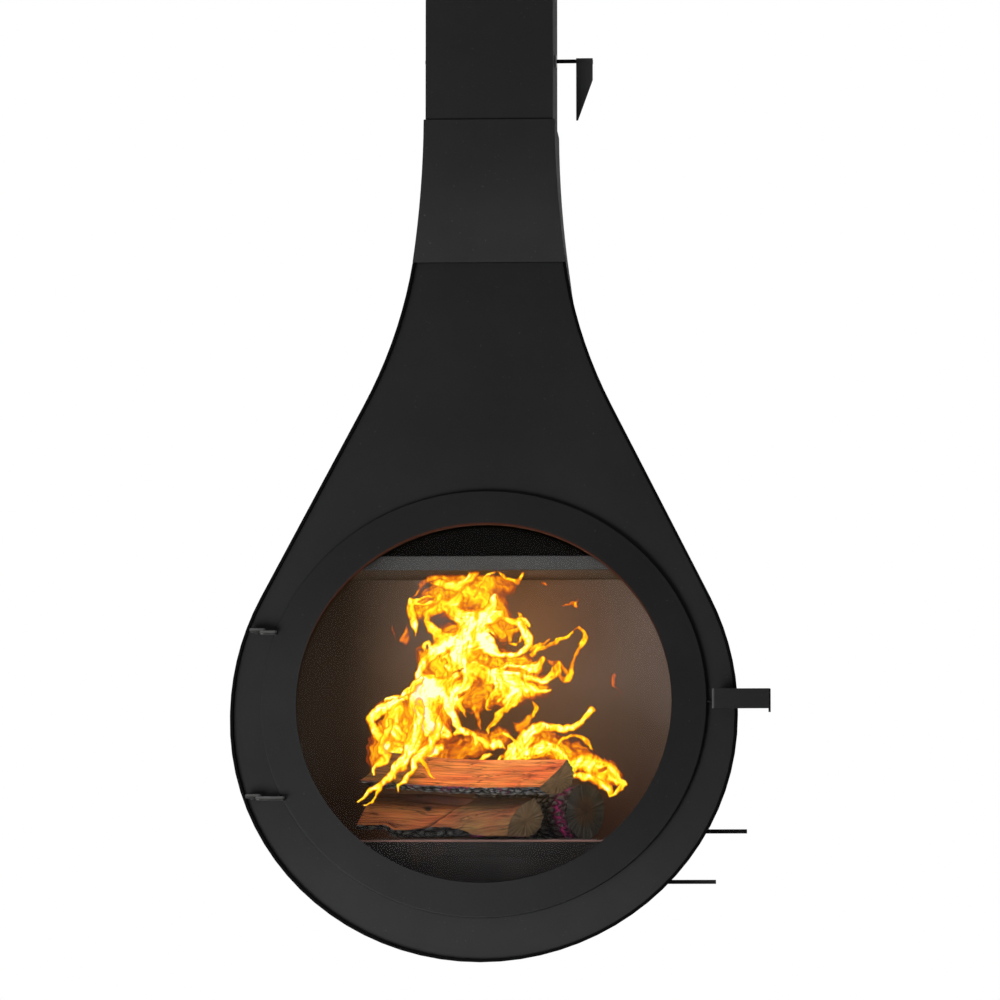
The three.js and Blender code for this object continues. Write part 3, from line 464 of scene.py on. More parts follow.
def braid(name, color):
    """Woven glass fibre: small cells for its stitches, with lint."""
    material, tree, shader = new_material(name)
    weave = node(tree, "ShaderNodeTexVoronoi", Scale=900.0)
    vector = stretched(tree, (1.0, 1.0, 1.0))
    tree.links.new(vector, weave.inputs["Vector"])
    lint = noise(tree, vector, 700.0, 4.0, 0.7)
    dark, light = shades(color, 0.5, 1.8)
    tree.links.new(
        ramp(tree, weave.outputs["Distance"], [(0.15, light), (0.7, dark)]),
        shader.inputs["Base Color"],
    )
    tree.links.new(span(tree, lint, 0.85, 1.0), shader.inputs["Roughness"])
    shader.inputs["Specular IOR Level"].default_value = 0.1
    bump(tree, shader, weave.outputs["Distance"], 0.5, 0.0005)
    return material


def clear_glass(name):
    """Clear glass-ceramic with a faint smoke haze."""
    material, tree, shader = new_material(name)
    haze = noise(tree, stretched(tree, (1.0, 1.0, 1.0)), 7.0, 4.0, 0.6)
    shader.inputs["Base Color"].default_value = (1.0, 1.0, 1.0, 1.0)
    tree.links.new(span(tree, haze, 0.0, 0.02, 0.45, 0.8), shader.inputs["Roughness"])
    shader.inputs["Transmission Weight"].default_value = 1.0
    shader.inputs["IOR"].default_value = 1.12
    return material


# ---------------------------------------------------------------------------
# Noise and mesh helpers
# ---------------------------------------------------------------------------
def smooth(low, high, value):
    """Rises from 0 at low to 1 at high with level ends."""
    part = np.clip((value - low) / (high - low), 0.0, 1.0)
    return part * part * (3.0 - 2.0 * part)


def lattice(u, v, seed, wrap=64):
    """Smooth noise: random values at whole numbers, blended level at each; v repeats after wrap."""
    table = np.random.default_rng(seed).random((64, wrap))
    low_u, low_v = np.floor(u).astype(int), np.floor(v).astype(int)
    part_u, part_v = smooth(0.0, 1.0, u - low_u), smooth(0.0, 1.0, v - low_v)
    rows = (low_u % 64, (low_u + 1) % 64)
    columns = (low_v % wrap, (low_v + 1) % wrap)
    near = table[rows[0], columns[0]] * (1 - part_u) + table[rows[1], columns[0]] * part_u
    far = table[rows[0], columns[1]] * (1 - part_u) + table[rows[1], columns[1]] * part_u
    return near * (1 - part_v) + far * part_v


def clouds(u, v, seed, octaves=3, wrap=64):
    """Sum of lattice noises, each twice as fine and half as strong as the last, 0 to 1."""
    total = sum(
        lattice(u * 2**k, v * 2**k, seed + k, wrap * 2**k) * 0.5**k for k in range(octaves)
    )
    return total / (2.0 - 0.5 ** (octaves - 1))


def cells(u, v, seed, wrap=64):
    """Distances to the nearest and the next of the points jittered in unit squares."""
    jitter = np.random.default_rng(seed).random((64, wrap, 2))
    low_u, low_v = np.floor(u).astype(int), np.floor(v).astype(int)
    first = np.full(u.shape, 9.0)
    second = first.copy()
    for du in (-1, 0, 1):
        for dv in (-1, 0, 1):
            spot = jitter[(low_u + du) % 64, (low_v + dv) % wrap]
            gap = np.hypot(low_u + du + spot[..., 0] - u, low_v + dv + spot[..., 1] - v)
            second = np.where(gap < first, first, np.minimum(second, gap))
            first = np.minimum(first, gap)
    return first, second


def smooth_path(points, steps=14):
    """A path through points as a smooth curve: each span a cubic set by its four nearest points."""
    given = np.array(points, float)
    given = np.vstack([2 * given[0] - given[1], given, 2 * given[-1] - given[-2]])
    part = np.linspace(0.0, 1.0, steps, endpoint=False)[:, None]
    before, start, end, after = given[:-3], given[1:-2], given[2:-1], given[3:]
    spans = 0.5 * (
        2 * start[:, None]
        + (end - before)[:, None] * part
        + (2 * before - 5 * start + 4 * end - after)[:, None] * part**2
        + (3 * start - before - 3 * end + after)[:, None] * part**3
    )
    return np.vstack([spans.reshape(-1, 3), given[-2]])


def put(obj, body, slot, *nodes):
    """Rides a piece on its body and hides the nodes it stands for."""
    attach(obj, body)
    if nodes:
        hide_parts(*nodes)
    return obj


def surface(name, points, faces, materials, attributes=None, choice=None):
    """A smooth mesh object from arrays of points, faces, point attributes and material numbers."""
    mesh = bpy.data.meshes.new(name)
    mesh.from_pydata(points.tolist(), [], faces.tolist())
    for material in materials:
        mesh.materials.append(material)
    for key, values in (attributes or {}).items():
        kind = "FLOAT" if values.ndim == 1 else "FLOAT_VECTOR"
        layer = mesh.attributes.new(key, kind, "POINT")
        layer.data.foreach_set("value" if kind == "FLOAT" else "vector", values.ravel())
    if choice is not None:
        mesh.polygons.foreach_set("material_index", choice.astype(np.int32))
    mesh.shade_smooth()
    mesh.validate()
    mesh.update()
    obj = bpy.data.objects.new(name, mesh)
    bpy.context.scene.collection.objects.link(obj)
    return obj


def tube_faces(rings, around, closed=False):
    """Quads of a grid of rings of points, joined round each ring, and end to end if closed."""
    row = np.arange(rings if closed else rings - 1)[:, None]
    column = np.arange(around)[None, :]
    following = (row + 1) % rings
    after = (column + 1) % around
    quads = np.stack(
        [
            row * around + column,
            row * around + after,
            following * around + after,
            following * around + column,
        ],
        axis=-1,
    )
    return quads.reshape(-1, 4)


def trimmed(name, width):
    """A merged copy of a CAD node whose sharp edges are rounded."""
    sharp = math.radians(30.0)
    mesh = NODES[name].data.copy()
    work = bmesh.new()
    work.from_mesh(mesh)
    bmesh.ops.remove_doubles(work, verts=work.verts, dist=2e-6)
    bmesh.ops.dissolve_limit(
        work, angle_limit=math.radians(0.2), verts=work.verts, edges=work.edges
    )
    work.to_mesh(mesh)
    work.free()
    mesh.materials.clear()
    mesh.shade_smooth()
    mesh.set_sharp_from_angle(angle=sharp)
    obj = bpy.data.objects.new(name + "_finished", mesh)
    bpy.context.scene.collection.objects.link(obj)
    if width > 0.0:
        edge = obj.modifiers.new("Edge round", "BEVEL")
        edge.width = width
        edge.segments = 2
        edge.limit_method = "ANGLE"
        edge.angle_limit = sharp
        edge.harden_normals = True
    return obj


def dress(names, material, slot, width):
    """Replaces CAD nodes by trimmed copies in a finish."""
    for name in names:
        obj = trimmed(name, width)
        obj.data.materials.append(material)
        put(obj, NODES[name]["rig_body"], slot, name)


def world_points(name):
    """Points of a CAD node in the shared frame."""
    mesh = NODES[name].data
    points = np.empty(len(mesh.vertices) * 3)
    mesh.vertices.foreach_get("co", points)
    placed = np.array(NODES[name].matrix_world)
    return points.reshape(-1, 3) @ placed[:3, :3].T + placed[:3, 3]


def ring_place(name):
    """Points of a ring round the door's middle: way up the leaning front, radius and depth."""
    points = world_points(name)
    up = points[:, 1] * math.sin(LEAN) + points[:, 2] * math.cos(LEAN)
    depth = points[:, 1] * math.cos(LEAN) - points[:, 2] * math.sin(LEAN)
    return up, np.hypot(points[:, 0], up - DOOR_UP), depth


def braided_rope(name, finish, steps=(1800, 26)):
    """A rope ring: strands cross over and under each other, two sets winding opposite ways.

    Its section is an oval inside the CAD ring's, swollen by the strand that lies on top. Each set
    is a wave along the rope turned with the angle round it, and the higher of the two shows.
    """
    _, radius, depth = ring_place(name)
    turn, round_it = np.meshgrid(
        np.linspace(0.0, 2 * np.pi, steps[0], endpoint=False),
        np.linspace(0.0, 2 * np.pi, steps[1], endpoint=False),
        indexing="ij",
    )
    one = np.cos(150.0 * turn + 3.0 * round_it)
    other = np.cos(150.0 * turn - 3.0 * round_it)
    over = np.maximum(one, other) * 0.5 + 0.5
    threads = 0.5 + 0.5 * np.cos(450.0 * turn + np.where(one > other, 9.0, -9.0) * round_it)
    swell = 0.80 + 0.17 * over + 0.03 * threads
    middle, half = (radius.max() + radius.min()) / 2, (radius.max() - radius.min()) / 2
    centre, thick = (depth.max() + depth.min()) / 2, (depth.max() - depth.min()) / 2
    out = middle + half * swell * np.cos(round_it)
    behind = centre + thick * swell * np.sin(round_it)
    up = DOOR_UP + out * np.sin(turn)
    points = np.stack(
        [
            out * np.cos(turn),
            behind * math.cos(LEAN) + up * math.sin(LEAN),
            up * math.cos(LEAN) - behind * math.sin(LEAN),
        ],
        axis=-1,
    )
    faces = tube_faces(*steps, closed=True)
    return surface(name + "_braid", points.reshape(-1, 3), faces, [finish])


def numbered(stem, count):
    """Names of repeated nodes."""
    return tuple(f"{stem}_{i + 1}" for i in range(count))


# ---------------------------------------------------------------------------
# Steel, boards and door
# ---------------------------------------------------------------------------
class FIREPLACE_OT_shell(bpy.types.Operator):
    """Finish the painted sheet steel outside"""

    bl_idname = "fireplace.shell"
    bl_label = "Shell"

    def execute(self, context):
        paint = context.scene.fireplace_paint
        edge = paint.edge_round
        color = tuple(paint.shell_color)
        coat = stove_paint("stove_paint", color)
        dress(("ceiling_cover", "flue_casing"), coat, "black_steel", edge)
        # The handle's near bend catches the light and its far bend is in the dark
        bends = (("X", 0.3088, 0.3064, 3.4), ("X", 0.3805, 0.3822, 0.12))
        grip = stove_paint("handle_paint", color, fades=bends)
        dress(("door_handle",), grip, "black_steel", edge)
        # Painted light: the collar is painted lighter towards its bottom
        hood = stove_paint("hood_paint", color, fades=(("Z", -0.300, -0.497, 1.45),))
        dress(("collar",), hood, "black_steel", edge)
        # Painted light: the front and back plates are painted lighter towards the bottom
        front = stove_paint("front_paint", color, fades=(("Z", -1.20, -1.45, 1.35),))
        dress(("front_plate", "back_plate"), front, "black_steel", edge)
        for name in ("primary_air_slide", "secondary_air_slide"):
            tip = world_points(name)[:, 0].max()
            # Each lever is painted lighter towards its tip
            lighter_at = (("X", tip - 0.045, tip, 2.6),)
            lever = stove_paint(name + "_paint", shades(color, 0.42)[0], fades=lighter_at)
            dress((name,), lever, "black_steel", edge)
        # The damper handle is painted 2.4 times lighter than the shell: painted light for the light
        # its bar catches
        blade = stove_paint("blade_paint", shades(color, 2.4)[0])
        dress(("damper_handle",), blade, "black_steel", edge)
        # Painted shade: the band is painted dark along its front rim
        rim = (("lean", FRONT_LEAN + 0.016, FRONT_LEAN + 0.006, paint.rim_shade),)
        band = stove_paint("band_paint", color, 0.7, 0.015, rim)
        dress(("body_band",), band, "black_steel", edge)
        return {"FINISHED"}


class FIREPLACE_OT_flue(bpy.types.Operator):
    """Finish the ceiling plate, the smoke pipe and the damper"""

    bl_idname = "fireplace.flue"
    bl_label = "Flue"

    def execute(self, context):
        paint = context.scene.fireplace_paint
        dull = heat_dulled("flue_steel", tuple(paint.inner_color))
        dress(("ceiling_plate", "flue_pipe", "throat_plate"), dull, "dark_steel", 0.0004)
        turned = bare_steel("turned_steel", (0.30, 0.295, 0.28), (30.0, 1.0, 1.0))
        bushes = ("damper_bush_left", "damper_bush_right")
        dress(bushes, turned, "bright_steel", 0.0004)
        dress(("damper_disc", "damper_shaft"), dull, "dark_steel", 0.0004)
        return {"FINISHED"}


class FIREPLACE_OT_firebox(bpy.types.Operator):
    """Finish the fire boards, hearth, grate, ash chamber and air controls"""

    bl_idname = "fireplace.firebox"
    bl_label = "Firebox"

    def execute(self, context):
        paint = context.scene.fireplace_paint
        board = fire_board("fire_board", tuple(paint.board_color))
        boards = ("back_liner", "side_liner_left", "side_liner_right")
        dress(boards, board, "fire_board", 0.001)
        smoked = fire_board("smoked_board", tuple(paint.baffle_color), BAFFLE_SOOT_BELOW)
        dress(("baffle",), smoked, "fire_board", 0.0015)
        hearth = heat_dulled("hearth_steel", tuple(paint.inner_color), lighter_at=HEARTH_LIGHTER_ABOVE)
        dress(("hearth_plate",), hearth, "dark_steel", 0.0006)
        dull = heat_dulled("ash_steel", tuple(paint.inner_color))
        dress(("ash_panel", "ash_back_wall"), dull, "dark_steel", 0.0006)
        hidden = (
            "primary_air_plate",
            "secondary_air_plate",
            "pan_rail_front",
            "pan_rail_back",
            "slide_guide_front",
            "slide_guide_back",
            "ash_pan",
        )
        dress(hidden, dull, "dark_steel", 0.0004)
        dress(("grate",), cast_iron("grate_iron", tuple(paint.iron_color)), "cast_iron", 0.0012)
        return {"FINISHED"}


class FIREPLACE_OT_door(bpy.types.Operator):
    """Finish the door, its glass, seals, hinges and latch"""

    bl_idname = "fireplace.door"
    bl_label = "Door"

    def execute(self, context):
        paint = context.scene.fireplace_paint
        # Painted light and shade: the ring is painted darker to the right and towards the top, and
        # lighter towards the bottom
        fades = (("X", -0.05, 0.30, 0.76), ("Z", -1.15, -0.85, 0.80), ("Z", -1.15, -1.38, 1.12))

        def fire_mark(tree, vector):
            """Where the fire's glow is a painted reflection on the ring: along the top of its
            opening.
            """
            place = axes(tree, vector)
            up = slanted(tree, place, math.sin(LEAN), math.cos(LEAN))
            up = maths(tree, "SUBTRACT", up, DOOR_UP)
            high = maths(tree, "MULTIPLY", up, up)
            wide = maths(tree, "MULTIPLY", place["X"], place["X"])
            radius = maths(tree, "SQRT", maths(tree, "ADD", high, wide))
            ring = span(tree, radius, 1.0, 0.0, opening + 0.0007, opening + 0.0022)
            return maths(tree, "MULTIPLY", ring, eased(tree, up, 0.0, 0.8, 0.02, 0.18))

        opening = ring_place("door_ring")[1].min()
        # The ring is painted reddish brown along the top of its opening: a painted reflection of
        # the fire's glow
        coat = stove_paint("ring_paint", tuple(paint.shell_color), fades=fades, glow=fire_mark)
        dress(("door_ring",), coat, "black_steel", paint.edge_round * 1.6)
        dull = heat_dulled("door_steel", tuple(paint.inner_color))
        dress(("glass_retainer", "latch_shaft"), dull, "dark_steel", 0.0004)
        rope = braid("seal_braid", tuple(paint.rope_color))
        dress(("glass_gasket",), rope, "seal", 0.0)
        put(braided_rope("door_rope_seal", rope), "door", "seal", "door_rope_seal")
        dress(("door_glass",), clear_glass("door_glass_clear"), "glass", 0.0)
        color = tuple(paint.hinge_color)
        for side in ("body", "door"):
            for height in ("upper", "lower"):
                tab = f"{side}_hinge_tab_{height}"
                across = world_points(tab)[:, 0]
                low, high = across.min(), across.max()
                # The door's tabs are painted dark at their rounded ends: painted shade where the
                # ends turn from the light
                ends = (
                    ("X", high - 0.0030, high - 0.0018, 0.08),
                    ("X", low + 0.0030, low + 0.0018, 0.08),
                )
                fades = ends if side == "door" else ()
                lighter = bare_steel(tab + "_steel", color, (1.0, 1.0, 6.0), 0.5, 0.3, fades)
                dress((tab,), lighter, "black_steel", paint.edge_round)
        turned = bpy.data.materials["turned_steel"]
        small = ("hinge_pin_upper", "hinge_pin_lower", *numbered("retainer_screw", 6))
        dress(small, turned, "bright_steel", 0.0003)
        return {"FINISHED"}


# ---------------------------------------------------------------------------
# Logs
# ---------------------------------------------------------------------------
# Each log: length and middle in metres and its turn about Z in degrees, then in millimetres its
# section across the log, as the bark's curve and the split face's curve. "cuts" is how far each
# sawn end runs on with y and with z, and the y where it is square, "foot" is the height of the
# bark's edge along the log, and "bow" how far its left end rises
LOGS = {
    "log_split_low": {
        "length": 0.246,
        "middle": (-0.049, -0.168, -1.2609),
        "turn": -10.0,
        "bark": (
            (16, 26.2), (24, 17), (28.5, 5), (28.5, -6), (23, -17.5), (12, -26.3), (-3, -28.6),
            (-13, -28.2), (-19.5, -26.5),
        ),
        "face": ((-19.5, -26.5), (-19.5, -15), (-15.5, -3), (-8.5, 8.5), (2, 18.5), (16, 26.2)),
        "cuts": ((0.45, 0.1, -19.0), (0.80, 0.0, 28.5)),
        "foot": (
            (-118, -17), (-76, -18.2), (-14, -12), (16, -15.8), (48, -24), (83, -27), (130, -28),
        ),
        "bow": 0.0,
    },
    "log_split_top": {
        "length": 0.276,
        "middle": (-0.030, -0.170, -1.2036),
        "turn": -6.0,
        "bark": (
            (18, 20.5), (25.5, 11), (28, -1), (24.5, -13), (15, -23), (2, -28.3), (-11, -27.6),
            (-19.5, -23), (-23, -18.5),
        ),
        "face": ((-23, -18.5), (-13.5, -10.5), (-3, -0.5), (7.5, 9.8), (18, 20.5)),
        "cuts": ((0.80, 0.0, -23.0), (0.80, 0.0, 18.0)),
        "foot": ((-150, -18.5), (150, -18.5)),
        "bow": 11.0,
    },
    "log_round": {
        "length": 0.185,
        "middle": (0.063, -0.048, -1.2511),
        "turn": -42.0,
        "bark": tuple(
            (38.8 * math.cos(k * math.pi / 8), 38.8 * math.sin(k * math.pi / 8)) for k in range(17)
        ),
        "face": (),
        "cuts": ((0.0, 0.0, 0.0), (0.0, 0.03, 0.0)),
        "foot": ((-150, 99), (150, 99)),
        "bow": 0.0,
    },
}
BARK_ROW = 0.0088  # width of a row of bark scales
# Knots of the low log's face: along it, height and strength
KNOTS = ((-0.033, 0.0165, 1.0), (0.004, 0.0235, 0.8), (0.052, -0.004, 0.35))


# The wood's finishes follow the log's own place: x along it, y and z across
def bark_finish(wood):
    """Bark: charred plates with light ridges and a glow deep in some of the cracks."""
    material, tree, shader = new_material("bark")
    place = attribute(tree, "log_place")
    relief = attribute(tree, "relief", "Fac")
    fine = noise(tree, stretched(tree, (160.0, 380.0, 380.0), place), 1.0, 5.0, 0.75)
    dark, plain, pale = shades(tuple(wood.bark_color), 0.15, 1.0, 11.0)
    # Dark in the cracks, a painted shade, and pale on the ridges, a painted highlight
    base = ramp(tree, relief, [(0.12, dark), (0.52, plain), (0.95, pale)])
    flaky = ramp(tree, fine, [(0.34, 0.22), (0.55, 0.8), (0.72, 2.6)])
    base = times(tree, base, flaky)
    shade = attribute(tree, "shade", "Fac")
    tree.links.new(times(tree, base, shade), shader.inputs["Base Color"])
    tree.links.new(span(tree, fine, 0.65, 0.95), shader.inputs["Roughness"])
    shader.inputs["Specular IOR Level"].default_value = 0.35
    hot = attribute(tree, "glint", "Fac")
    shader.inputs["Emission Color"].default_value = (*wood.glint_color, 1.0)
    tree.links.new(hot, shader.inputs["Emission Strength"])
    bump(tree, shader, fine, 0.8, 0.0014)
    return material


def split_finish(wood):
    """Split face: long fibres and cracks, orange by the fire and tan away from it."""
    material, tree, shader = new_material("split_wood")
    place = attribute(tree, "log_place")
    grain = attribute(tree, "grain")
    fibre = noise(tree, stretched(tree, (16.0, 360.0, 360.0), grain), 1.0, 6.0, 0.70)
    band = noise(tree, stretched(tree, (5.0, 90.0, 90.0), grain), 1.0, 4.0, 0.60)
    patch = noise(tree, stretched(tree, (14.0, 30.0, 30.0), place), 1.0, 4.0, 0.6)
    color = tuple(wood.split_color)
    tan = (color[0] * 0.62, color[1] * 1.08, color[2] * 1.55)
    base = mixed(tree, attribute(tree, "warmth", "Fac"), tan, color)
    late = ramp(
        tree,
        band,
        [(0.28, (0.50, 0.38, 0.32)), (0.44, (0.95, 0.95, 0.95)), (0.70, (1.18, 1.50, 1.20))],
    )
    base = times(tree, base, late)
    ruddy = ramp(tree, patch, [(0.42, (1.0, 1.0, 1.0)), (0.68, (1.06, 0.66, 0.66))])
    base = times(tree, base, ruddy)
    streak = ramp(tree, fibre, [(0.33, 0.36), (0.47, 0.92), (0.66, 1.45)])
    base = times(tree, base, streak)
    relief = attribute(tree, "relief", "Fac")
    # Darker where the tone is low: painted shade in the cracks, and the wood's own colour at knots
    # and fibres
    base = times(tree, base, ramp(tree, relief, [(0.0, 0.10), (0.55, 1.0)]))
    # Fine dark crack lines: painted shade in them
    lines = noise(tree, stretched(tree, (15.0, 150.0, 40.0), grain), 1.0, 5.0, 0.66, 0.4)
    where = noise(tree, stretched(tree, (22.0, 70.0, 40.0), grain), 1.0, 2.0, 0.5)
    cleft = maths(tree, "ABSOLUTE", maths(tree, "SUBTRACT", lines, 0.5))
    cleft = maths(tree, "ADD", cleft, span(tree, where, 0.035, 0.0, 0.38, 0.54))
    base = times(tree, base, ramp(tree, cleft, [(0.0, 0.10), (0.012, 0.30), (0.026, 1.0)]))
    shade = attribute(tree, "shade", "Fac")
    tree.links.new(times(tree, base, shade), shader.inputs["Base Color"])
    tree.links.new(span(tree, fibre, 0.6, 0.85), shader.inputs["Roughness"])
    shader.inputs["Specular IOR Level"].default_value = 0.25
    bump(tree, shader, fibre, 0.6, 0.0007)
    return material


def end_finish(wood):
    """Sawn end: rings round the heart, rays out from it and dark weathering."""
    material, tree, shader = new_material("sawn_end")
    place = attribute(tree, "log_place")
    flat = stretched(tree, (0.0, 1.0, 1.0), place)
    rings = node(
        tree,
        "ShaderNodeTexWave",
        wave_type="RINGS",
        rings_direction="X",
        Scale=110.0,
        Distortion=2.8,
        Detail=3.0,
    )
    tree.links.new(flat, rings.inputs["Vector"])
    ray = noise(tree, stretched(tree, (1.0, 7.0, 7.0), attribute(tree, "ray")), 1.0, 5.0, 0.75)
    grime = noise(tree, stretched(tree, (70.0, 70.0, 70.0), place), 1.0, 4.0, 0.6)
    color = tuple(wood.end_color)
    heart = (color[0] * 0.42, color[1] * 0.40, color[2] * 0.46)
    charred = (color[0] * 0.36, color[1] * 0.56, color[2] * 1.08)
    dark, light = shades(color, 0.86, 1.12)
    base = ramp(tree, rings.outputs["Fac"], [(0.1, dark), (0.85, light)])
    fire_mark = mixed(tree, attribute(tree, "rim", "Fac"), heart, charred)
    base = mixed(tree, attribute(tree, "char", "Fac"), base, fire_mark)
    base = times(tree, base, ramp(tree, ray, [(0.34, 0.38), (0.5, 0.95), (0.66, 2.0)]))
    base = times(tree, base, ramp(tree, grime, [(0.3, 0.60), (0.7, 1.25)]))
    tree.links.new(base, shader.inputs["Base Color"])
    shader.inputs["Roughness"].default_value = 0.85
    shader.inputs["Specular IOR Level"].default_value = 0.25
    bump(tree, shader, ray, 0.5, 0.0006)
    return material


def spread(curve, count):
    """A smooth curve through points of a section, and its outward side, at equal steps."""
    path = smooth_path([(y, z, 0.0) for y, z in curve])[:, :2] * MM
    way = np.concatenate([[0.0], np.cumsum(np.hypot(*np.diff(path, axis=0).T))])
    steps = np.linspace(0.0, way[-1], count + 1)
    fine = np.stack([np.interp(steps, way, path[:, 0]), np.interp(steps, way, path[:, 1])], axis=1)
    tangent = np.gradient(fine, axis=0)
    side = np.stack([-tangent[:, 1], tangent[:, 0]], axis=1)
    side /= np.linalg.norm(side, axis=1, keepdims=True)
    return fine[:-1], side[:-1], steps[:-1]


def log_section(log, around):
    """A log's section: its points, their outward sides, the way round it and which are bark.

    The lengths of the bark's curve and the face's curve follow. A whole log has no face.
    """
    bark, face = (
        np.hypot(*np.diff(np.array(log[key], float), axis=0).T).sum() * MM if log[key] else 0.0
        for key in ("bark", "face")
    )
    on_bark = int(round(around * bark / (bark + face)))
    points, outward, travel = spread(log["bark"], on_bark)
    if log["face"]:
        face_points, face_side, face_way = spread(log["face"], around - on_bark)
        points, outward = np.vstack([points, face_points]), np.vstack([outward, face_side])
        travel = np.concatenate([travel, bark + face_way])
    is_bark = np.arange(around) < on_bark
    if ((points - points.mean(axis=0)) * outward).sum() < 0.0:
        outward = -outward
    return points, outward, travel, is_bark, bark, face


def bark_height(x, t, length, seed, full):
    """Height of bark, 0 to 1: scales between cracks, on rows that waver along the trunk."""
    wrap = max(8, int(round(length / BARK_ROW)))
    v = t / length * wrap if full else t / BARK_ROW
    if full:
        sway = (clouds(x / 0.03, v * 0.25, seed + 40, 3, max(2, wrap // 4)) - 0.5) * 1.3
    else:
        sway = (clouds(x / 0.03, v / 3.0, seed + 40) - 0.5) * 1.3
    first, second = cells(x / 0.0135 + sway * 0.8, v + sway, seed, wrap if full else 64)
    plates = smooth(0.03, 0.34, second - first)
    crown = 1.0 - 0.75 * np.clip(first, 0.0, 1.0) ** 1.6
    rough = clouds(x / 0.0042, t / 0.0028, seed + 9, 3)
    return plates * crown * (0.55 + 0.45 * rough)


def face_relief(x, z, t, seed, knots, lift):
    """Split face: fibres, slow hollows, long cracks that waver, and knots that they part round.

    Gives its depth in metres, its tone, the line that the grain follows and the hollows.
    """
    knot = np.zeros_like(x)
    for knot_x, knot_z, weight in knots:
        near_x, near_z = (x - knot_x) / 0.006, (z - knot_z) / 0.0026
        knot = np.maximum(knot, weight * np.exp(-(near_x**2) - near_z**2))
        lift = lift + weight * 0.0030 * np.exp(-((near_x / 2.4) ** 2)) * np.tanh(near_z / 2.0)
    line = t - lift
    fibre = clouds(x / 0.05, line / 0.0026, seed + 21, 3)
    hollow = clouds(x / 0.085, line / 0.022, seed + 27, 2)
    bend = (clouds(x / 0.05, t / 0.03, seed + 33, 3) - 0.5) * 2.6
    gap_line = np.abs(clouds(x / 0.060, line / 0.0090 + bend, seed + 31, 2) - 0.5)
    crack = 0.8 - 0.8 * smooth(0.005, 0.060, gap_line)
    crack *= smooth(0.46, 0.66, clouds(x / 0.06, t / 0.016, seed + 35, 2))
    depth = 0.0012 * (1.0 - fibre) + 0.0028 * hollow + 0.0016 * crack + 0.0012 * knot
    # Cracks are painted dark, a painted shade in them; fibres and knots darken it as the wood's own
    # tone
    tone = np.clip(1.0 - 0.80 * crack - 0.25 * (1.0 - fibre) - 0.8 * knot, 0.0, 1.0)
    return depth, tone, line, hollow


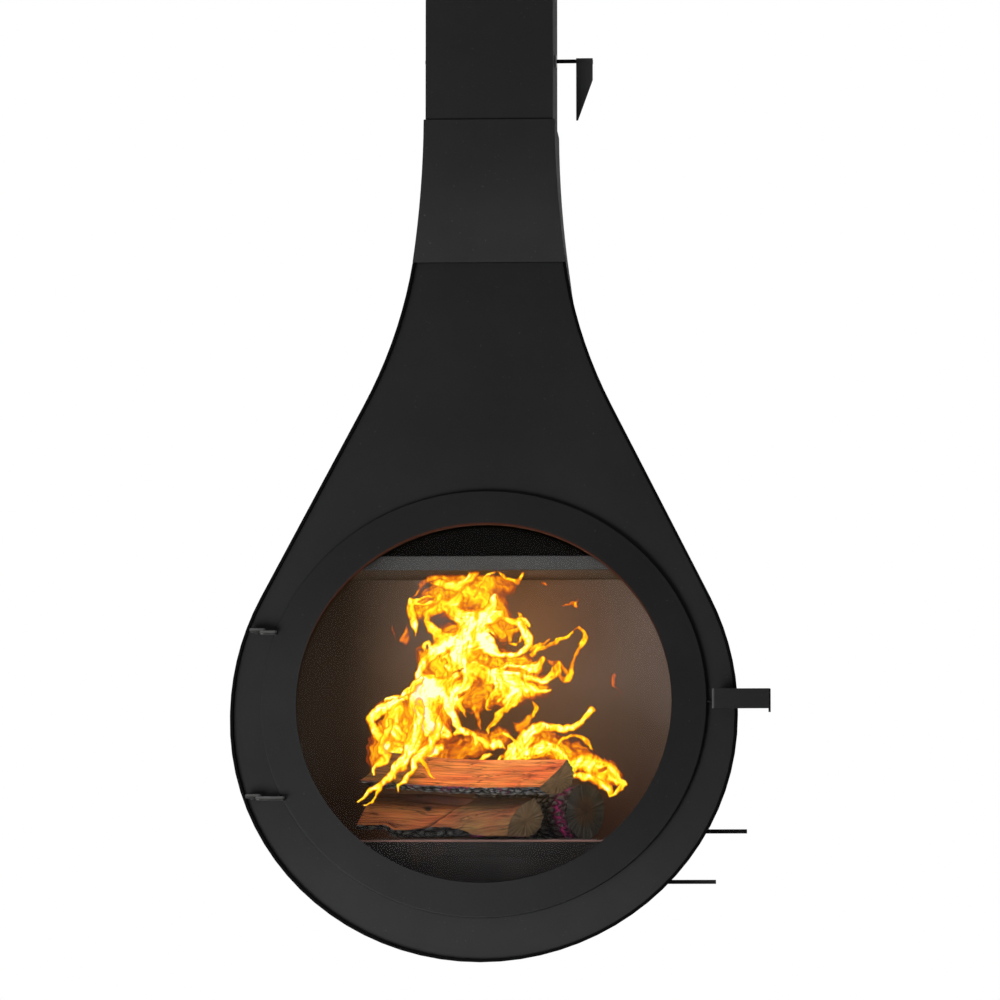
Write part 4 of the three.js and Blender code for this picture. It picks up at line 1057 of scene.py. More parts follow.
def make_log(name, finishes, seed, steps=(210, 196)):
    """One log.

    Its section is a curve of bark, closed by the curve of the split face, and is carried along the
    log. Bark scales, furrows, fibres and cracks push the surface inwards: jittered cells give the
    scales, and their borders the cracks. Each sawn end is the section shrunk to a point in rings,
    on a plane that crosses the log aslant.
    """
    log = LOGS[name]
    length, middle, along, around = log["length"], log["middle"], *steps
    full = not log["face"]
    section, outward, travel, is_bark, arc_length, chord = log_section(log, around)
    centre = section.mean(axis=0)

    caps = 26
    x_line = np.linspace(-length / 2, length / 2, along)
    shrink = np.linspace(0.0, 1.0, caps, endpoint=False) ** 0.8
    stations = np.concatenate([np.full(caps, -length / 2), x_line, np.full(caps, length / 2)])
    scale = np.concatenate([shrink, np.ones(along), shrink[::-1]])
    on_cap = np.concatenate([np.ones(caps, bool), np.zeros(along, bool), np.ones(caps, bool)])
    x = np.repeat(stations[:, None], len(section), axis=1)
    t = np.repeat(travel[None], len(stations), axis=0)
    across = centre + (section - centre)[None] * scale[:, None, None]
    outer_y = np.repeat(section[None, :, 0], len(stations), axis=0)
    outer_z = np.repeat(section[None, :, 1], len(stations), axis=0)

    height = bark_height(x, t, arc_length, seed, full)
    bark_depth = 0.0050 * (1.0 - height)
    low = name == "log_split_low"
    lift = 0.010 * smooth(-0.02, 0.09, x) * (x / 0.1) if low else np.zeros_like(x)
    face_depth, face_tone, line, hollow = face_relief(
        x, outer_z, t, seed, KNOTS if low else (), lift
    )

    # How dark the wood is, and how orange
    shade = np.ones_like(x)
    warmth = np.ones_like(x)
    if low:
        # The face is torn in two levels along a slanting line, with a splinter standing at it
        waver = 0.006 * (clouds(x / 0.02, t / 0.01, 5, 2) - 0.5)
        edge = (x + 0.024) - (outer_z + 0.012) * 1.5 + waver
        torn = smooth(-0.004, 0.0015, edge)
        face_depth += 0.0065 * (1.0 - torn) * smooth(-0.10, -0.02, x)
        valley = np.exp(-(((edge + 0.0060) / 0.0065) ** 2)) * smooth(0.026, 0.014, outer_z)
        splinter = np.exp(-(((edge - 0.0016) / 0.0012) ** 2)) * smooth(0.014, 0.004, outer_z)
        # The splinter is painted lighter, a painted highlight, and the valley before the step
        # darker, a painted shade
        face_tone = np.clip(face_tone + 0.3 * splinter, 0.0, 1.0)
        shade *= (0.56 + 0.40 * splinter - 0.08 * torn) * (1.0 - 0.80 * valley)
        # Painted shadow of the top log along the top of the face
        shade *= 1.0 - 0.82 * smooth(0.004, 0.022, outer_z + 0.012 * (hollow - 0.5))
        warmth = 0.95 - 0.80 * smooth(-0.012, 0.012, edge) * smooth(-0.03, 0.03, x)
    elif name == "log_split_top":
        part = smooth(-0.090, -0.055, x + 0.3 * outer_y)
        shade *= 0.42 + 0.58 * part
        warmth = 0.25 + 0.75 * part

    # The bark reaches up the face's foot, to a line that rises and falls along the log
    foot = np.interp(x / MM, *np.array(log["foot"], float).T) * MM
    foot += 0.002 * (clouds(x / 0.01, t * 0.0, seed + 71, 2) - 0.5)
    bark_map = is_bark[None] | ((outer_z < foot) & (not full))
    blend = smooth(-0.0006, 0.0012, foot - outer_z) if not full else np.ones_like(x)
    blend = np.where(is_bark[None], 1.0, blend)
    depth = bark_depth * blend + face_depth * (1.0 - blend)
    tone = np.where(bark_map, height, face_tone)
    if not full:
        near = np.minimum(np.abs(t - arc_length), np.minimum(t, arc_length + chord - t))
        depth *= 0.08 + 0.92 * smooth(0.0, 0.007, near)
    depth *= 1.0 - 0.55 * smooth(0.008, 0.0, length / 2 - np.abs(x))
    depth = depth * np.where(on_cap, scale**6, 1.0)[:, None]
    moved = across - outward[None] * depth[..., None]
    # The low log's left end stands clear of the floor and is higher
    if low:
        clear = 0.58 + 0.42 * smooth(-0.086, -0.070, x)
        tall = 1.0 + 0.26 * smooth(0.04, -0.05, x)
        moved[..., 1] *= np.where(moved[..., 1] < 0.0, clear, tall)
    rise = log["bow"] * MM * np.clip((0.045 - x) / 0.18, 0.0, 1.0) ** 1.6
    lengthwise = x.copy()
    for sign, (y_slope, z_slope, zero_y) in zip((-1.0, 1.0), log["cuts"]):
        share = smooth(0.0, 1.0, np.clip(sign * x / (length / 2), 0.0, 1.0))
        lengthwise += share * (y_slope * (moved[..., 0] - zero_y * MM) + z_slope * moved[..., 1])
    rim = np.linalg.norm(across - centre, axis=-1) / np.linalg.norm(section - centre, axis=-1)
    side = np.sign(x) * np.where(on_cap, 1.0, 0.0)[:, None]
    lengthwise += side * -0.0009 * clouds(rim * 14.0, moved[..., 0] / 0.004, seed + 51, 2)

    turn = math.radians(log["turn"])
    world = np.stack(
        [
            lengthwise * math.cos(turn) - moved[..., 0] * math.sin(turn) + middle[0],
            lengthwise * math.sin(turn) + moved[..., 0] * math.cos(turn) + middle[1],
            moved[..., 1] + rise + middle[2],
        ],
        axis=-1,
    )
    faces = tube_faces(len(stations), len(section))
    kinds = np.where(bark_map, 0, 1)[:-1]
    kinds = np.where(on_cap[:-1, None] | on_cap[1:, None], 2, kinds).reshape(-1)
    ray = np.stack([np.zeros_like(x), across[..., 0] - centre[0], across[..., 1] - centre[1]], -1)
    ray /= np.maximum(np.linalg.norm(ray, axis=-1, keepdims=True), 1e-6)
    spots = smooth(0.60, 0.74, clouds(x / 0.022, t / 0.02, seed + 61, 2))
    glint = smooth(0.22, 0.04, height) * spots * 0.35
    if name == "log_round":
        aside = x - 0.072 + 0.012 * (clouds(x * 0.0, t / 0.016, seed + 67, 2) - 0.5)
        glint = smooth(0.34, 0.10, height) * np.exp(-((aside / 0.007) ** 2)) * 0.32
        # The round log is painted darker, most towards its left end: painted shade against the
        # firelight on it
        shade *= 0.62 - 0.2 * smooth(0.03, -0.02, x)
    charred = np.full_like(x, 1.0 if full else 0.25 if low else 0.0)
    # The top log's bark is painted 1.3 times lighter: painted light where it lies in shadow
    shade = np.where(bark_map & (name == "log_split_top"), 1.3, shade)
    obj = surface(
        name + "_wood",
        world.reshape(-1, 3),
        faces,
        finishes,
        {
            "log_place": np.stack([x, across[..., 0], across[..., 1]], axis=-1).reshape(-1, 3),
            "grain": np.stack([x, line, 0.2 * across[..., 1]], axis=-1).reshape(-1, 3),
            "ray": ray.reshape(-1, 3),
            "relief": tone.reshape(-1),
            "shade": shade.reshape(-1),
            "warmth": warmth.reshape(-1),
            "rim": smooth(0.30, 0.75, rim).reshape(-1),
            "char": charred.reshape(-1),
            "glint": (glint * bark_map).reshape(-1),
        },
        kinds,
    )
    weld = bmesh.new()
    weld.from_mesh(obj.data)
    bmesh.ops.remove_doubles(weld, verts=weld.verts, dist=1e-6)
    bmesh.ops.recalc_face_normals(weld, faces=weld.faces)
    weld.to_mesh(obj.data)
    weld.free()
    return obj


class FIREPLACE_OT_logs(bpy.types.Operator):
    """Build the three logs"""

    bl_idname = "fireplace.logs"
    bl_label = "Logs"

    def execute(self, context):
        wood = context.scene.fireplace_wood
        finishes = [bark_finish(wood), split_finish(wood), end_finish(wood)]
        slots = {
            "log_split_low": "split_wood",
            "log_split_top": "split_wood",
            "log_round": "bark_wood",
        }
        for i, (name, slot) in enumerate(slots.items()):
            obj = make_log(name, finishes, wood.seed + 100 * i)
            put(obj, NODES[name]["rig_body"], slot, name)
        return {"FINISHED"}


# ---------------------------------------------------------------------------
# Fire
# ---------------------------------------------------------------------------
# Each tongue of flame: how hot it is, then its path as (x, z, half width) in millimetres
TONGUES = {
    "back": [
        (0.42, [(-108, -960, 1.3), (-92, -944, 4.2), (-74, -934, 6.8), (-58, -930, 7.8),
            (-46, -921, 3.1)]),
        (0.6, [(-37, -920, 10.5), (-35, -934, 9.4), (-24, -950, 10.5), (-8, -964, 8.9)]),
        (0.45, [(-11, -921, 10.5), (-1, -934, 10.5), (5, -944, 4.2)]),
        (0.5, [(39, -975, 1.6), (43, -984, 4.7), (31, -989, 3.7)]),
        (0.42, [(78, -1040, 1.3), (86, -1048, 4.7), (99, -1052, 5.8), (107, -1062, 4.7)]),
        (0.38, [(-114, -997, 0.5), (-113, -1008, 4.2), (-113, -1018, 7.8), (-120, -1020, 0.8)]),
        (0.22, [(-134, -999, 0.5), (-132, -1008, 1.3), (-126, -1018, 1.3)]),
        (0.36, [(68, -939, 1.3), (74, -942, 3.4), (80, -945, 0.8)]),
        (0.4, [(98, -971, 0.5), (111, -968, 2.1), (118, -967, 3.9), (121, -975, 0.8)]),
        (0.3, [(121, -958, 0.5), (120, -964, 1.6), (118, -967, 2.1)]),
        (0.24, [(173, -1061, 0.5), (169, -1073, 3.1), (168, -1080, 2.1), (175, -1088, 0.8),
            (172, -1096, 0.5)]),
        (0.4, [(28, -1122, 0.8), (39, -1130, 4.7), (41, -1138, 4.2)]),
        (0.42, [(161, -1172, 0.5), (165, -1187, 2.6)]),
        (0.5, [(122, -1169, 0.8), (125, -1182, 5.2)]),
        (0.5, [(-98, -976, 16.4), (-54, -957, 27.3), (-13, -960, 32.8), (17, -998, 24.6)]),
        (0.52, [(-47, -1015, 30.1), (-13, -1045, 32.8), (44, -1050, 21.9)]),
        (0.55, [(-79, -1042, 21.9), (-65, -1083, 35.5), (-88, -1127, 43.7), (-123, -1162, 35.5)]),
        (0.42, [(-27, -1097, 24.6), (14, -1086, 24.6), (69, -1083, 16.4)]),
        (0.42, [(41, -1162, 19.1), (82, -1159, 27.3), (130, -1181, 19.1), (164, -1203, 10.9)]),
        (0.42, [(-139, -1135, 13.7), (-150, -1181, 19.1), (-133, -1203, 13.7)]),
        (0.4, [(14, -1146, 16.4), (-27, -1162, 19.1), (-68, -1178, 24.6)]),
        (0.38, [(-68, -924, 16.4), (-27, -933, 21.9), (21, -938, 16.4)]),
    ],
    "main": [
        (0.8, [(-63, -957, 4.7), (-79, -968, 4.7), (-97, -965, 5.2), (-104, -972, 5.7),
            (-101, -987, 6.2), (-96, -1012, 0.8)]),
        (0.7, [(-105, -968, 1.3), (-92, -960, 1.8), (-76, -959, 2.1), (-66, -957, 2.6)]),
        (0.75, [(-76, -939, 2.6), (-61, -940, 6.2), (-40, -943, 8.8), (-22, -933, 7.8),
            (-13, -924, 5.2)]),
        (0.8, [(10, -925, 1.6), (-1, -935, 2.1), (-9, -947, 2.1), (-15, -957, 2.6)]),
        (0.85, [(11, -924, 1.6), (23, -934, 2.9), (34, -939, 3.4), (43, -934, 3.1),
            (47, -924, 2.3)]),
        (0.85, [(-55, -976, 8.8), (-35, -985, 13), (-9, -987, 13), (15, -985, 6.8)]),
        (0.9, [(-9, -990, 10.4), (4, -976, 6.8), (12, -959, 1.6)]),
        (0.9, [(4, -992, 7.8), (17, -987, 5.2), (20, -979, 1)]),
        (0.72, [(-84, -995, 3.6), (-79, -982, 8.8), (-61, -972, 10.9), (-45, -964, 10.9),
            (-39, -955, 6.8)]),
        (1, [(-71, -1037, 6.2), (-55, -1024, 15.6), (-35, -1013, 21.8), (-19, -998, 21.8),
            (-3, -987, 13)]),
        (1, [(-45, -1039, 10.4), (-24, -1024, 20.8), (-3, -1013, 14.5)]),
        (0.85, [(-55, -1021, 13), (-74, -1007, 7.8), (-84, -997, 2.1)]),
        (1, [(-9, -1018, 10.4), (4, -1029, 10.4), (20, -1037, 5.7), (39, -1037, 6.2),
            (55, -1026, 7.8), (49, -1009, 7.3), (42, -996, 6.8)]),
        (0.85, [(20, -990, 3.6), (33, -992, 5.2), (46, -992, 5.7), (55, -1000, 2.1)]),
        (0.5, [(24, -1016, 3.1), (28, -1006, 3.6), (39, -1001, 3.1)]),
        (0.8, [(23, -1021, 1.8), (36, -1022, 2.1), (44, -1014, 1.8)]),
        (0.72, [(60, -1039, 3.1), (72, -1031, 3.4), (88, -1025, 3.1), (103, -1018, 3.1),
            (115, -1009, 1.3)]),
        (0.66, [(62, -1031, 3.6), (75, -1024, 2.6), (84, -1019, 1.3)]),
        (0.62, [(115, -1012, 1), (123, -1003, 2.3), (130, -1009, 3.6), (129, -1020, 4.2),
            (121, -1033, 3.6), (117, -1047, 3.1), (115, -1061, 3.6), (108, -1071, 4.7),
            (101, -1065, 4.2), (100, -1055, 2.6)]),
        (0.95, [(17, -1060, 2.6), (29, -1052, 5.2), (46, -1055, 3.1), (62, -1055, 8.8),
            (76, -1045, 4.7)]),
        (0.95, [(2, -1065, 7.8), (28, -1068, 13), (49, -1070, 12.5), (72, -1070, 8.8),
            (88, -1063, 7.8), (100, -1052, 1.6)]),
        (0.8, [(-19, -1055, 15.6), (-3, -1065, 14.5), (15, -1076, 11.4), (33, -1081, 11.4),
            (54, -1083, 6.8), (75, -1086, 5.2), (88, -1086, 1)]),
        (0.95, [(-71, -1037, 9.4), (-87, -1050, 9.4), (-94, -1063, 7.8), (-87, -1078, 15.6),
            (-97, -1091, 13)]),
        (1, [(-55, -1044, 9.4), (-48, -1065, 10.4), (-66, -1089, 20.8), (-87, -1100, 23.4)]),
        (1, [(-35, -1044, 13), (-27, -1065, 14.5), (-35, -1086, 14.5), (-48, -1102, 15.6)]),
        (0.8, [(-86, -1035, 2.1), (-84, -1027, 3.6), (-77, -1024, 3.1), (-73, -1034, 3.1)]),
        (0.8, [(16, -1079, 2.1), (10, -1089, 1.8), (4, -1100, 1.6)]),
        (0.75, [(20, -1083, 2.1), (24, -1091, 2.1), (16, -1102, 2.1)]),
        (0.85, [(49, -1081, 10.4), (41, -1091, 10.4), (30, -1103, 13)]),
        (1, [(-79, -1081, 23.4), (-92, -1101, 26), (-87, -1122, 28.6), (-76, -1138, 21.8),
            (-59, -1148, 10.4)]),
        (0.9, [(-115, -1101, 6.8), (-144, -1114, 8.3), (-158, -1125, 6.8), (-152, -1140, 7.8),
            (-136, -1160, 6.8)]),
        (0.85, [(-139, -1104, 1.6), (-133, -1099, 2.6), (-120, -1101, 5.2)]),
        (0.9, [(-123, -1117, 11.9), (-133, -1130, 11.4), (-123, -1146, 11.4), (-111, -1152, 7.8)]),
        (0.85, [(-136, -1159, 8.8), (-130, -1174, 9.4), (-141, -1180, 5.7), (-147, -1190, 5.2),
            (-152, -1206, 1)]),
        (0.9, [(-123, -1169, 6.8), (-114, -1190, 11.9), (-101, -1195, 11.9), (-84, -1185, 11.9),
            (-66, -1169, 6.8)]),
        (0.5, [(-79, -1182, 5.2), (-70, -1195, 4.7), (-59, -1203, 1)]),
        (0.95, [(-55, -1094, 15.6), (-48, -1112, 9.4), (-44, -1133, 5.2), (-35, -1146, 6.8)]),
        (0.9, [(-45, -1143, 6.8), (-24, -1143, 7.3), (-16, -1151, 4.7), (-17, -1164, 1)]),
        (0.35, [(-58, -1163, 1.3), (-40, -1164, 1.6), (-22, -1167, 1.3)]),
        (0.6, [(-35, -1088, 4.2), (-35, -1107, 4.2), (-27, -1121, 1)]),
        (0.55, [(-5, -1100, 1.6), (-14, -1117, 6.2), (-7, -1136, 1.3)]),
        (0.65, [(16, -1086, 4.7), (5, -1099, 3.6), (2, -1109, 2.1), (7, -1112, 0.8)]),
        (0.9, [(23, -1083, 15.6), (34, -1094, 11.9), (39, -1104, 4.2), (33, -1110, 1)]),
        (0.75, [(29, -1107, 4.2), (18, -1120, 5.2), (8, -1136, 3.1), (4, -1145, 0.8)]),
        (0.8, [(54, -1091, 7.8), (75, -1088, 5.2), (88, -1087, 1)]),
        (0.9, [(-11, -1151, 3.1), (2, -1162, 8.8), (16, -1155, 7.8), (20, -1169, 1.6)]),
        (0.85, [(7, -1175, 2.6), (-2, -1179, 3.6), (-9, -1182, 1.3)]),
        (0.85, [(29, -1159, 3.1), (23, -1172, 2.6), (16, -1182, 2.1)]),
        (0.55, [(62, -1103, 1), (67, -1114, 3.6), (56, -1127, 4.7), (41, -1135, 6.8)]),
        (0.97, [(33, -1178, 13), (43, -1159, 14.5), (59, -1144, 12.5), (75, -1139, 8.3),
            (95, -1141, 5.7), (116, -1135, 5.7), (132, -1122, 3.9), (142, -1112, 5.2)]),
        (0.7, [(34, -1152, 2.6), (26, -1143, 2.1), (15, -1145, 1)]),
        (0.9, [(49, -1175, 13), (64, -1169, 13), (80, -1164, 12.5), (93, -1173, 11.4),
            (107, -1182, 5.2)]),
        (0.62, [(93, -1166, 2.1), (101, -1154, 2.6), (115, -1148, 3.4), (129, -1155, 3.6),
            (140, -1167, 1)]),
        (0.85, [(107, -1200, 10.4), (120, -1187, 13), (134, -1182, 15.6), (150, -1192, 17.1),
            (166, -1200, 15.6), (177, -1213, 9.4), (181, -1222, 5.7), (169, -1232, 1.6)]),
        (0.85, [(111, -1205, 4.2), (132, -1203, 6.8), (150, -1211, 6.8), (164, -1221, 5.2),
            (169, -1232, 1.3)]),
    ],
    "front": [
        (1, [(-85, -1077, 3.6), (-95, -1090, 6.7), (-111, -1103, 2.6)]),
        (0.95, [(-84, -1108, 7), (-92, -1128, 11), (-98, -1150, 13), (-108, -1172, 12),
            (-112, -1190, 9), (-124, -1202, 7), (-137, -1214, 5.5), (-149, -1222, 4.2),
            (-162, -1229, 3.2), (-172, -1241, 1.3)]),
        (0.88, [(-62, -1126, 4), (-64, -1146, 7), (-72, -1164, 8), (-84, -1178, 8),
            (-95, -1188, 6.5), (-100, -1200, 4.5), (-107, -1208, 3.2), (-114, -1214, 2.2),
            (-115, -1227, 0.8)]),
        (0.82, [(-126, -1132, 3), (-134, -1150, 6), (-140, -1168, 6.5), (-133, -1184, 5),
            (-146, -1188, 4), (-152, -1204, 1.2)]),
        (0.85, [(-88, -1150, 8), (-94, -1168, 9), (-106, -1182, 7), (-122, -1192, 4)]),
        (0.8, [(-134, -1214, 4.1), (-147, -1229, 2.6), (-153, -1242, 1.3), (-167, -1245, 0.8)]),
        (0.55, [(-88, -1176, 5), (-82, -1190, 4), (-74, -1204, 2), (-66, -1212, 0.8)]),
    ],
}
# Paths of the dark gaps in the main layer, likewise
DARK_GAPS = [
    [(-92, -964, 1.6), (-83, -963, 3.1), (-74, -963, 1.6)],
    [(-2, -1009, 1.6), (7, -1015, 2.6), (13, -1024, 3.6)],
    [(20, -1026, 3.6), (33, -1029, 3.6), (41, -1021, 3.1)],
    [(-70, -1059, 2.6), (-63, -1051, 3.1), (-55, -1046, 2.1)],
    [(-70, -1065, 4.2), (-66, -1057, 2.1)],
    [(-53, -1068, 1.3), (-45, -1061, 1.3), (-35, -1056, 1.3)],
    [(-35, -1095, 3.1), (-28, -1090, 2.6)],
    [(-19, -1086, 3.6), (-3, -1082, 4.7), (12, -1083, 3.1)],
    [(28, -1059, 1), (41, -1063, 1.6), (55, -1061, 1)],
    [(-45, -1154, 4.2), (-35, -1159, 5.2), (-24, -1159, 3.1)],
    [(-79, -1164, 2.6), (-71, -1156, 2.1)],
    [(-52, -1166, 3.6), (-37, -1172, 5.2), (-22, -1172, 2.6)],
    [(6, -1173, 3.1), (15, -1172, 5.2), (20, -1166, 2.6)],
    [(102, -1164, 3.6), (111, -1161, 6.8), (119, -1166, 4.2)],
    [(115, -1166, 1.6), (115, -1166, 1.6)],
    [(153, -1195, 3.1), (160, -1194, 3.6)],
    [(-129, -1177, 0.8), (-125, -1183, 1)],
    [(-55, -1127, 0.8), (-52, -1138, 0.8)],
]
# Y of each layer of flame in millimetres, and how far it may sway
LAYERS = {"back": (-75.0, 14.0), "main": (-125.0, 22.0), "front": (-196.0, 10.0)}
# Place in metres of each lamp that stands for the firelight, and its share of the glow
FIRE_LIGHTS = (
    ((-0.05, -0.10, -1.14), 0.7),
    ((0.06, -0.05, -0.99), 1.2),
    ((0.10, -0.12, -1.17), 0.5),
)


def along_tongue(x, z, path):
    """Where the points near a path lie on it.

    Gives the points' mask, their distance from the path over its half width, the side they are on,
    the way along it, and its half width.
    """
    path[:, 2] = np.maximum(path[:, 2], 0.3)
    low, high = path[:, :2].min(axis=0) - 25.0, path[:, :2].max(axis=0) + 25.0
    mask = (x > low[0]) & (x < high[0]) & (z > low[1]) & (z < high[1])
    from_x = x[mask][:, None] - path[None, :, 0]
    from_z = z[mask][:, None] - path[None, :, 1]
    away = np.hypot(from_x, from_z) / path[None, :, 2]
    nearest = away.argmin(axis=1)
    rows = np.arange(len(nearest))
    steps = np.diff(path[:, :2], axis=0)
    way = np.concatenate([[0.0], np.cumsum(np.hypot(*steps.T))])
    heading = np.gradient(path[:, :2], axis=0)[nearest]
    cross = heading[:, 0] * from_z[rows, nearest] - heading[:, 1] * from_x[rows, nearest]
    return mask, away[rows, nearest], np.sign(cross), way[nearest], path[nearest, 2]


def flame_heat(x, z, tongues, gaps, seed):
    """Heat of a layer of flame at points of its plane, 0 to about 1.

    The plane is first bent by three sizes of noise. Each tongue is hot on its path and fades at its
    edge. Strands run along it: noise stretched along the path makes bright ridges, and a second
    one frays the edge. Tongues add as light does, 1 less the product of what each leaves, and the
    sum is averaged with the hottest of them. Filaments then brighten and darken the layer.
    """
    bent = []
    for shift in (0, 6):
        sway = (clouds(x / 38 + shift, z / 38 + shift, seed + shift) - 0.5) * 14.0
        sway += (clouds(x / 15 + shift, z / 15, seed + 11 + shift) - 0.5) * 8.0
        sway += (clouds(x / 6 + shift, z / 7, seed + 13 + shift, 2) - 0.5) * 3.4
        bent.append(sway)
    top = z
    x, z = x + bent[0], z + bent[1]
    left = np.ones_like(x)
    hottest = np.zeros_like(x)
    for i, (heat, points) in enumerate(tongues):
        path = smooth_path(points) * (1.0, 1.0, 1.18)
        mask, away, side, way, width = along_tongue(x, z, path)
        width = np.maximum(width, 3.0)
        across = side * away * width
        strand = clouds(way / 24, across / 3.4 + i * 3.7, seed + i, 2)
        wave = clouds(way / 17 + i, across / 2.3 + i * 5.1, seed + i + 50, 2)
        ridge = 1.0 - np.abs(2.0 * wave - 1.0)
        fray = clouds(way / 9, across / 2.0 + i * 1.9, seed + i + 80, 2)
        edge = 1.06 - 0.42 * smooth(3.0, 9.0, width) * (fray - 0.25) - 0.10 * (strand - 0.5)
        body = 1.0 - smooth(edge - 0.72, edge, away)
        level = body * np.clip(heat * (0.56 + 0.44 * ridge**2 + 0.50 * (strand - 0.38)), 0.0, 1.0)
        left[mask] *= 1.0 - np.clip(level, 0.0, 0.98)
        hottest[mask] = np.maximum(hottest[mask], level)
    total = 0.45 * (1.0 - left) + 0.55 * hottest
    # Filaments of two sizes run through the layer, drawn out upwards and bent by a slower noise
    drawn_x = x + 26.0 * (clouds(x / 30 + 3, z / 42, seed + 90) - 0.5)
    drawn_z = z + 30.0 * (clouds(x / 26, z / 40 + 5, seed + 93) - 0.5)
    flow = 1.0 - np.abs(2.0 * clouds(drawn_x / 7.5, drawn_z / 24, seed + 96) - 1.0)
    thread = 1.0 - np.abs(2.0 * clouds(drawn_x / 3.6, drawn_z / 14, seed + 99, 2) - 1.0)
    total *= 0.50 + 0.42 * smooth(0.45, 0.98, flow) + 0.24 * smooth(0.50, 0.98, thread)
    # The baffle over the fire ends the flames
    total *= smooth(-924.0, -932.0, top)
    for points in gaps:
        mask, away, *_ = along_tongue(x, z, smooth_path(points))
        total[mask] *= 1.0 - 0.92 * (1.0 - smooth(0.4, 1.3, away))
    return total


FLAME_EDGE = 0.05  # heat at which a flame ends


def flame_surface(name, layer, tongues, gaps, seed, cell, finish):
    """A layer of flame as a closed surface.

    Heat is worked out on a grid of the layer's plane. Grid squares hotter than the edge are kept
    twice, as a front and a back surface that stand apart by the root of the heat and meet at the
    edge, where the points are drawn onto the line of equal heat.
    """
    middle, sway = LAYERS[layer]
    spots = np.array([point for _, points in tongues for point in points], float)
    low, high = spots[:, :2].min(axis=0) - 26.0, spots[:, :2].max(axis=0) + 26.0
    step = cell / MM
    x, z = np.meshgrid(
        np.arange(low[0], high[0], step), np.arange(low[1], high[1], step), indexing="ij"
    )
    heat = flame_heat(x, z, tongues, gaps, seed)
    hot = heat > FLAME_EDGE
    square = hot[:-1, :-1] | hot[1:, :-1] | hot[1:, 1:] | hot[:-1, 1:]
    corners = np.arange(x.size).reshape(x.shape)
    quads = np.stack([corners[:-1, :-1], corners[1:, :-1], corners[1:, 1:], corners[:-1, 1:]], -1)
    quads = quads[square]
    slope_x, slope_z = np.gradient(heat, step)
    steepness = slope_x**2 + slope_z**2 + 1e-9
    pull = np.where(hot, 0.0, np.clip((FLAME_EDGE - heat) / steepness, 0.0, None))
    shift = np.stack([pull * slope_x, pull * slope_z], -1)
    size = np.linalg.norm(shift, axis=-1, keepdims=True)
    shift *= np.minimum(1.0, 0.9 * step / np.maximum(size, 1e-9))
    x, z = x + shift[..., 0], z + shift[..., 1]
    lean = middle + sway * 2.0 * (clouds(x / 60, z / 60, seed + 71) - 0.5)
    half = np.where(hot, 0.4 + 7.0 * np.sqrt(np.clip(heat - FLAME_EDGE, 0.0, 1.0)), 0.0)
    half *= 0.75 + 0.5 * clouds(x / 12, z / 12, seed + 77)
    front = np.stack([x, lean - half, z], -1).reshape(-1, 3)
    back = np.stack([x, lean + half, z], -1).reshape(-1, 3)
    # A point of the edge serves both surfaces
    partner = np.where(hot.reshape(-1), np.arange(x.size) + x.size, np.arange(x.size))
    faces = np.vstack([quads, partner[quads][:, ::-1]])
    used, numbering = np.unique(faces, return_inverse=True)
    points = np.vstack([front, back])[used] * MM
    value = np.concatenate([heat.reshape(-1)] * 2)[used]
    value = np.where(value > FLAME_EDGE, value, 0.0)
    return surface(name, points, numbering.reshape(-1, 4), [finish], {"hotness": value})


def flame_finish(name, strength):
    """Burning gas: red-brown and thin at its edge, then orange, yellow and a pale core."""
    material, tree, shader = new_material(name)
    heat = attribute(tree, "hotness", "Fac")
    grades = [
        (0.00, (0.300, 0.020, 0.001)),
        (0.08, (0.480, 0.045, 0.002)),
        (0.18, (0.780, 0.110, 0.003)),
        (0.30, (0.960, 0.235, 0.003)),
        (0.42, (1.000, 0.430, 0.004)),
        (0.53, (1.000, 0.650, 0.007)),
        (0.66, (1.000, 0.840, 0.025)),
        (0.80, (1.000, 0.940, 0.150)),
        (0.92, (1.000, 1.000, 0.600)),
    ]
    tree.links.new(ramp(tree, heat, grades), shader.inputs["Emission Color"])
    cover = [(0.00, 0.0), (0.08, 0.06), (0.18, 0.24), (0.30, 0.50), (0.42, 0.76), (0.55, 0.95)]
    tree.links.new(ramp(tree, heat, cover), shader.inputs["Alpha"])
    shader.inputs["Emission Strength"].default_value = strength
    shader.inputs["Base Color"].default_value = (0.0, 0.0, 0.0, 1.0)
    shader.inputs["Roughness"].default_value = 1.0
    shader.inputs["Specular IOR Level"].default_value = 0.0
    return material


class FIREPLACE_OT_flames(bpy.types.Operator):
    """Build the three layers of flame, and the light they throw"""

    bl_idname = "fireplace.flames"
    bl_label = "Flames"

    def execute(self, context):
        fire = context.scene.fireplace_fire
        finish = flame_finish("flame", fire.strength)
        for i, layer in enumerate(LAYERS):
            obj = flame_surface(
                "flame_" + layer,
                layer,
                TONGUES[layer],
                DARK_GAPS if layer == "main" else [],
                fire.seed + 200 * i,
                fire.cell,
                finish,
            )
            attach(obj, "stove")
            obj.visible_shadow = False
        for i, (place, share) in enumerate(FIRE_LIGHTS):
            light = bpy.data.lights.new(f"fire_light_{i + 1}", "POINT")
            light.color = (1.0, 0.50, 0.20)
            light.energy = fire.glow * share
            light.shadow_soft_size = 0.07
            lamp = bpy.data.objects.new(light.name, light)
            lamp.location = place
            lamp.visible_camera = False
            lamp.visible_transmission = False
            lamp.visible_glossy = False
            context.scene.collection.objects.link(lamp)
        return {"FINISHED"}


# ---------------------------------------------------------------------------
# Stage
# ---------------------------------------------------------------------------
# Camera in metres, and how far it is turned to the left and tilted up
CAMERA_PLACE = (0.38496, -8.23515, -1.56718)
CAMERA_TURN = math.radians(2.6)
CAMERA_TILT = math.radians(5.2)
FLOOR_SIDE = 12.0
FLOOR_LEVEL = -2.6


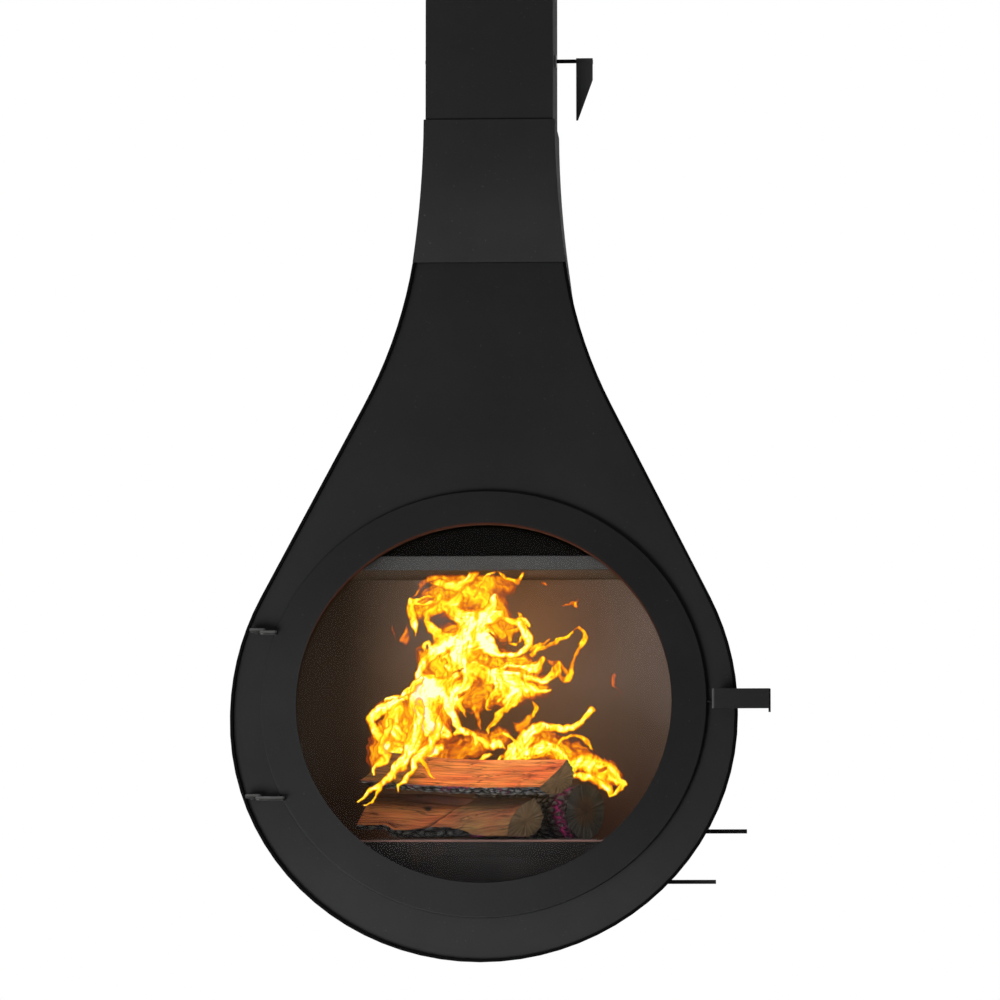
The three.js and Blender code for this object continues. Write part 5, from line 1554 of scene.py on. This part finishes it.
def add_camera(scene, lens):
    """The camera, without roll, in the photo's place."""
    data = bpy.data.cameras.new("camera")
    data.lens = lens
    data.sensor_width = 36.0
    data.clip_end = 100.0
    camera = bpy.data.objects.new("camera", data)
    scene.collection.objects.link(camera)
    across, along = math.cos(CAMERA_TURN), math.sin(CAMERA_TURN)
    level, rise = math.cos(CAMERA_TILT), math.sin(CAMERA_TILT)
    right = Vector((across, along, 0.0))
    ahead = Vector((-along * level, across * level, rise))
    turn = Matrix((right, right.cross(ahead), -ahead)).transposed()
    camera.matrix_world = Matrix.Translation(CAMERA_PLACE) @ turn.to_4x4()
    scene.camera = camera


def add_floor(scene):
    """A plain pale floor, far below."""
    floor = bpy.data.meshes.new("floor")
    corners = ((-1, -1), (1, -1), (1, 1), (-1, 1))
    points = [(x * FLOOR_SIDE, y * FLOOR_SIDE, FLOOR_LEVEL) for x, y in corners]
    floor.from_pydata(points, [], [(0, 1, 2, 3)])
    ground = bpy.data.objects.new("floor", floor)
    scene.collection.objects.link(ground)
    material, _, shader = new_material("pale_floor")
    shader.inputs["Base Color"].default_value = (0.85, 0.85, 0.85, 1.0)
    shader.inputs["Roughness"].default_value = 0.9
    floor.materials.append(material)


def add_world(scene, level):
    """A room that is dim on the object, and white where it is seen, reflected or seen through."""
    world = bpy.data.worlds.new("studio")
    scene.world = world
    world.use_nodes = True
    tree = world.node_tree
    background = tree.nodes["Background"]
    path = node(tree, "ShaderNodeLightPath").outputs
    seen = maths(tree, "MAXIMUM", path["Is Camera Ray"], path["Is Transmission Ray"])
    seen = maths(tree, "MAXIMUM", seen, path["Is Glossy Ray"])
    tree.links.new(span(tree, seen, level, 1.0), background.inputs["Strength"])
    background.inputs["Color"].default_value = (1.0, 1.0, 1.0, 1.0)


def add_lamp(scene, name, place, target, size, power):
    """A square lamp aimed at a point."""
    light = bpy.data.lights.new(name, "AREA")
    light.size = size
    light.energy = power
    obj = bpy.data.objects.new(name, light)
    obj.location = place
    aim = Vector(target) - Vector(place)
    obj.rotation_euler = aim.to_track_quat("-Z", "Y").to_euler()
    scene.collection.objects.link(obj)


class FIREPLACE_OT_stage(bpy.types.Operator):
    """Set up the camera, lamps and background"""

    bl_idname = "fireplace.stage"
    bl_label = "Stage"

    def execute(self, context):
        settings = context.scene.fireplace_stage
        scene = context.scene
        scene.view_settings.view_transform = "Standard"
        add_camera(scene, settings.lens)
        add_floor(scene)
        add_world(scene, settings.world_level)
        key, fill = settings.key_power, settings.fill_power
        upper, lower = (0.0, 0.0, -0.9), (0.0, -0.2, -1.2)
        add_lamp(scene, "key", (-3.2, -3.6, 0.8), upper, 2.4, key)
        add_lamp(scene, "fill", (-1.1, -2.2, -2.1), lower, 1.0, fill)
        add_lamp(scene, "side", (-1.7, -1.9, -1.9), lower, 1.0, fill * 0.2)
        add_lamp(scene, "rear", (-0.6, 4.0, 0.3), upper, 2.0, fill)
        add_lamp(scene, "right", (4.0, 0.6, -0.2), upper, 2.0, fill * 0.2)
        return {"FINISHED"}


class FIREPLACE_PT_panel(bpy.types.Panel):
    """Sizes, colours and pieces of the fireplace"""

    bl_label = "Hanging Fireplace"
    bl_idname = "FIREPLACE_PT_panel"
    bl_space_type = "VIEW_3D"
    bl_region_type = "UI"
    bl_category = "Fireplace"

    def draw(self, context):
        layout = self.layout
        for group in SETTINGS:
            settings = getattr(context.scene, group)
            box = layout.box()
            for key in settings.bl_rna.properties.keys():
                if key not in {"rna_type", "name"}:
                    box.prop(settings, key)
        for operator in OPERATORS:
            layout.operator(operator.bl_idname)


SETTINGS = {
    "fireplace_paint": PaintSettings,
    "fireplace_wood": WoodSettings,
    "fireplace_fire": FireSettings,
    "fireplace_stage": StageSettings,
}
OPERATORS = (
    FIREPLACE_OT_stage,
    FIREPLACE_OT_shell,
    FIREPLACE_OT_flue,
    FIREPLACE_OT_firebox,
    FIREPLACE_OT_door,
    FIREPLACE_OT_logs,
    FIREPLACE_OT_flames,
)
CLASSES = (*SETTINGS.values(), *OPERATORS, FIREPLACE_PT_panel)


def register():
    for cls in CLASSES:
        bpy.utils.register_class(cls)
    for name, settings in SETTINGS.items():
        setattr(bpy.types.Scene, name, PointerProperty(type=settings))


def unregister():
    for name in SETTINGS:
        delattr(bpy.types.Scene, name)
    for cls in reversed(CLASSES):
        bpy.utils.unregister_class(cls)


def main():
    register()
    bpy.ops.fireplace.stage()
    bpy.ops.fireplace.shell()
    bpy.ops.fireplace.flue()
    bpy.ops.fireplace.firebox()
    bpy.ops.fireplace.door()
    bpy.ops.fireplace.logs()
    bpy.ops.fireplace.flames()


if __name__ == "__main__":
    main()
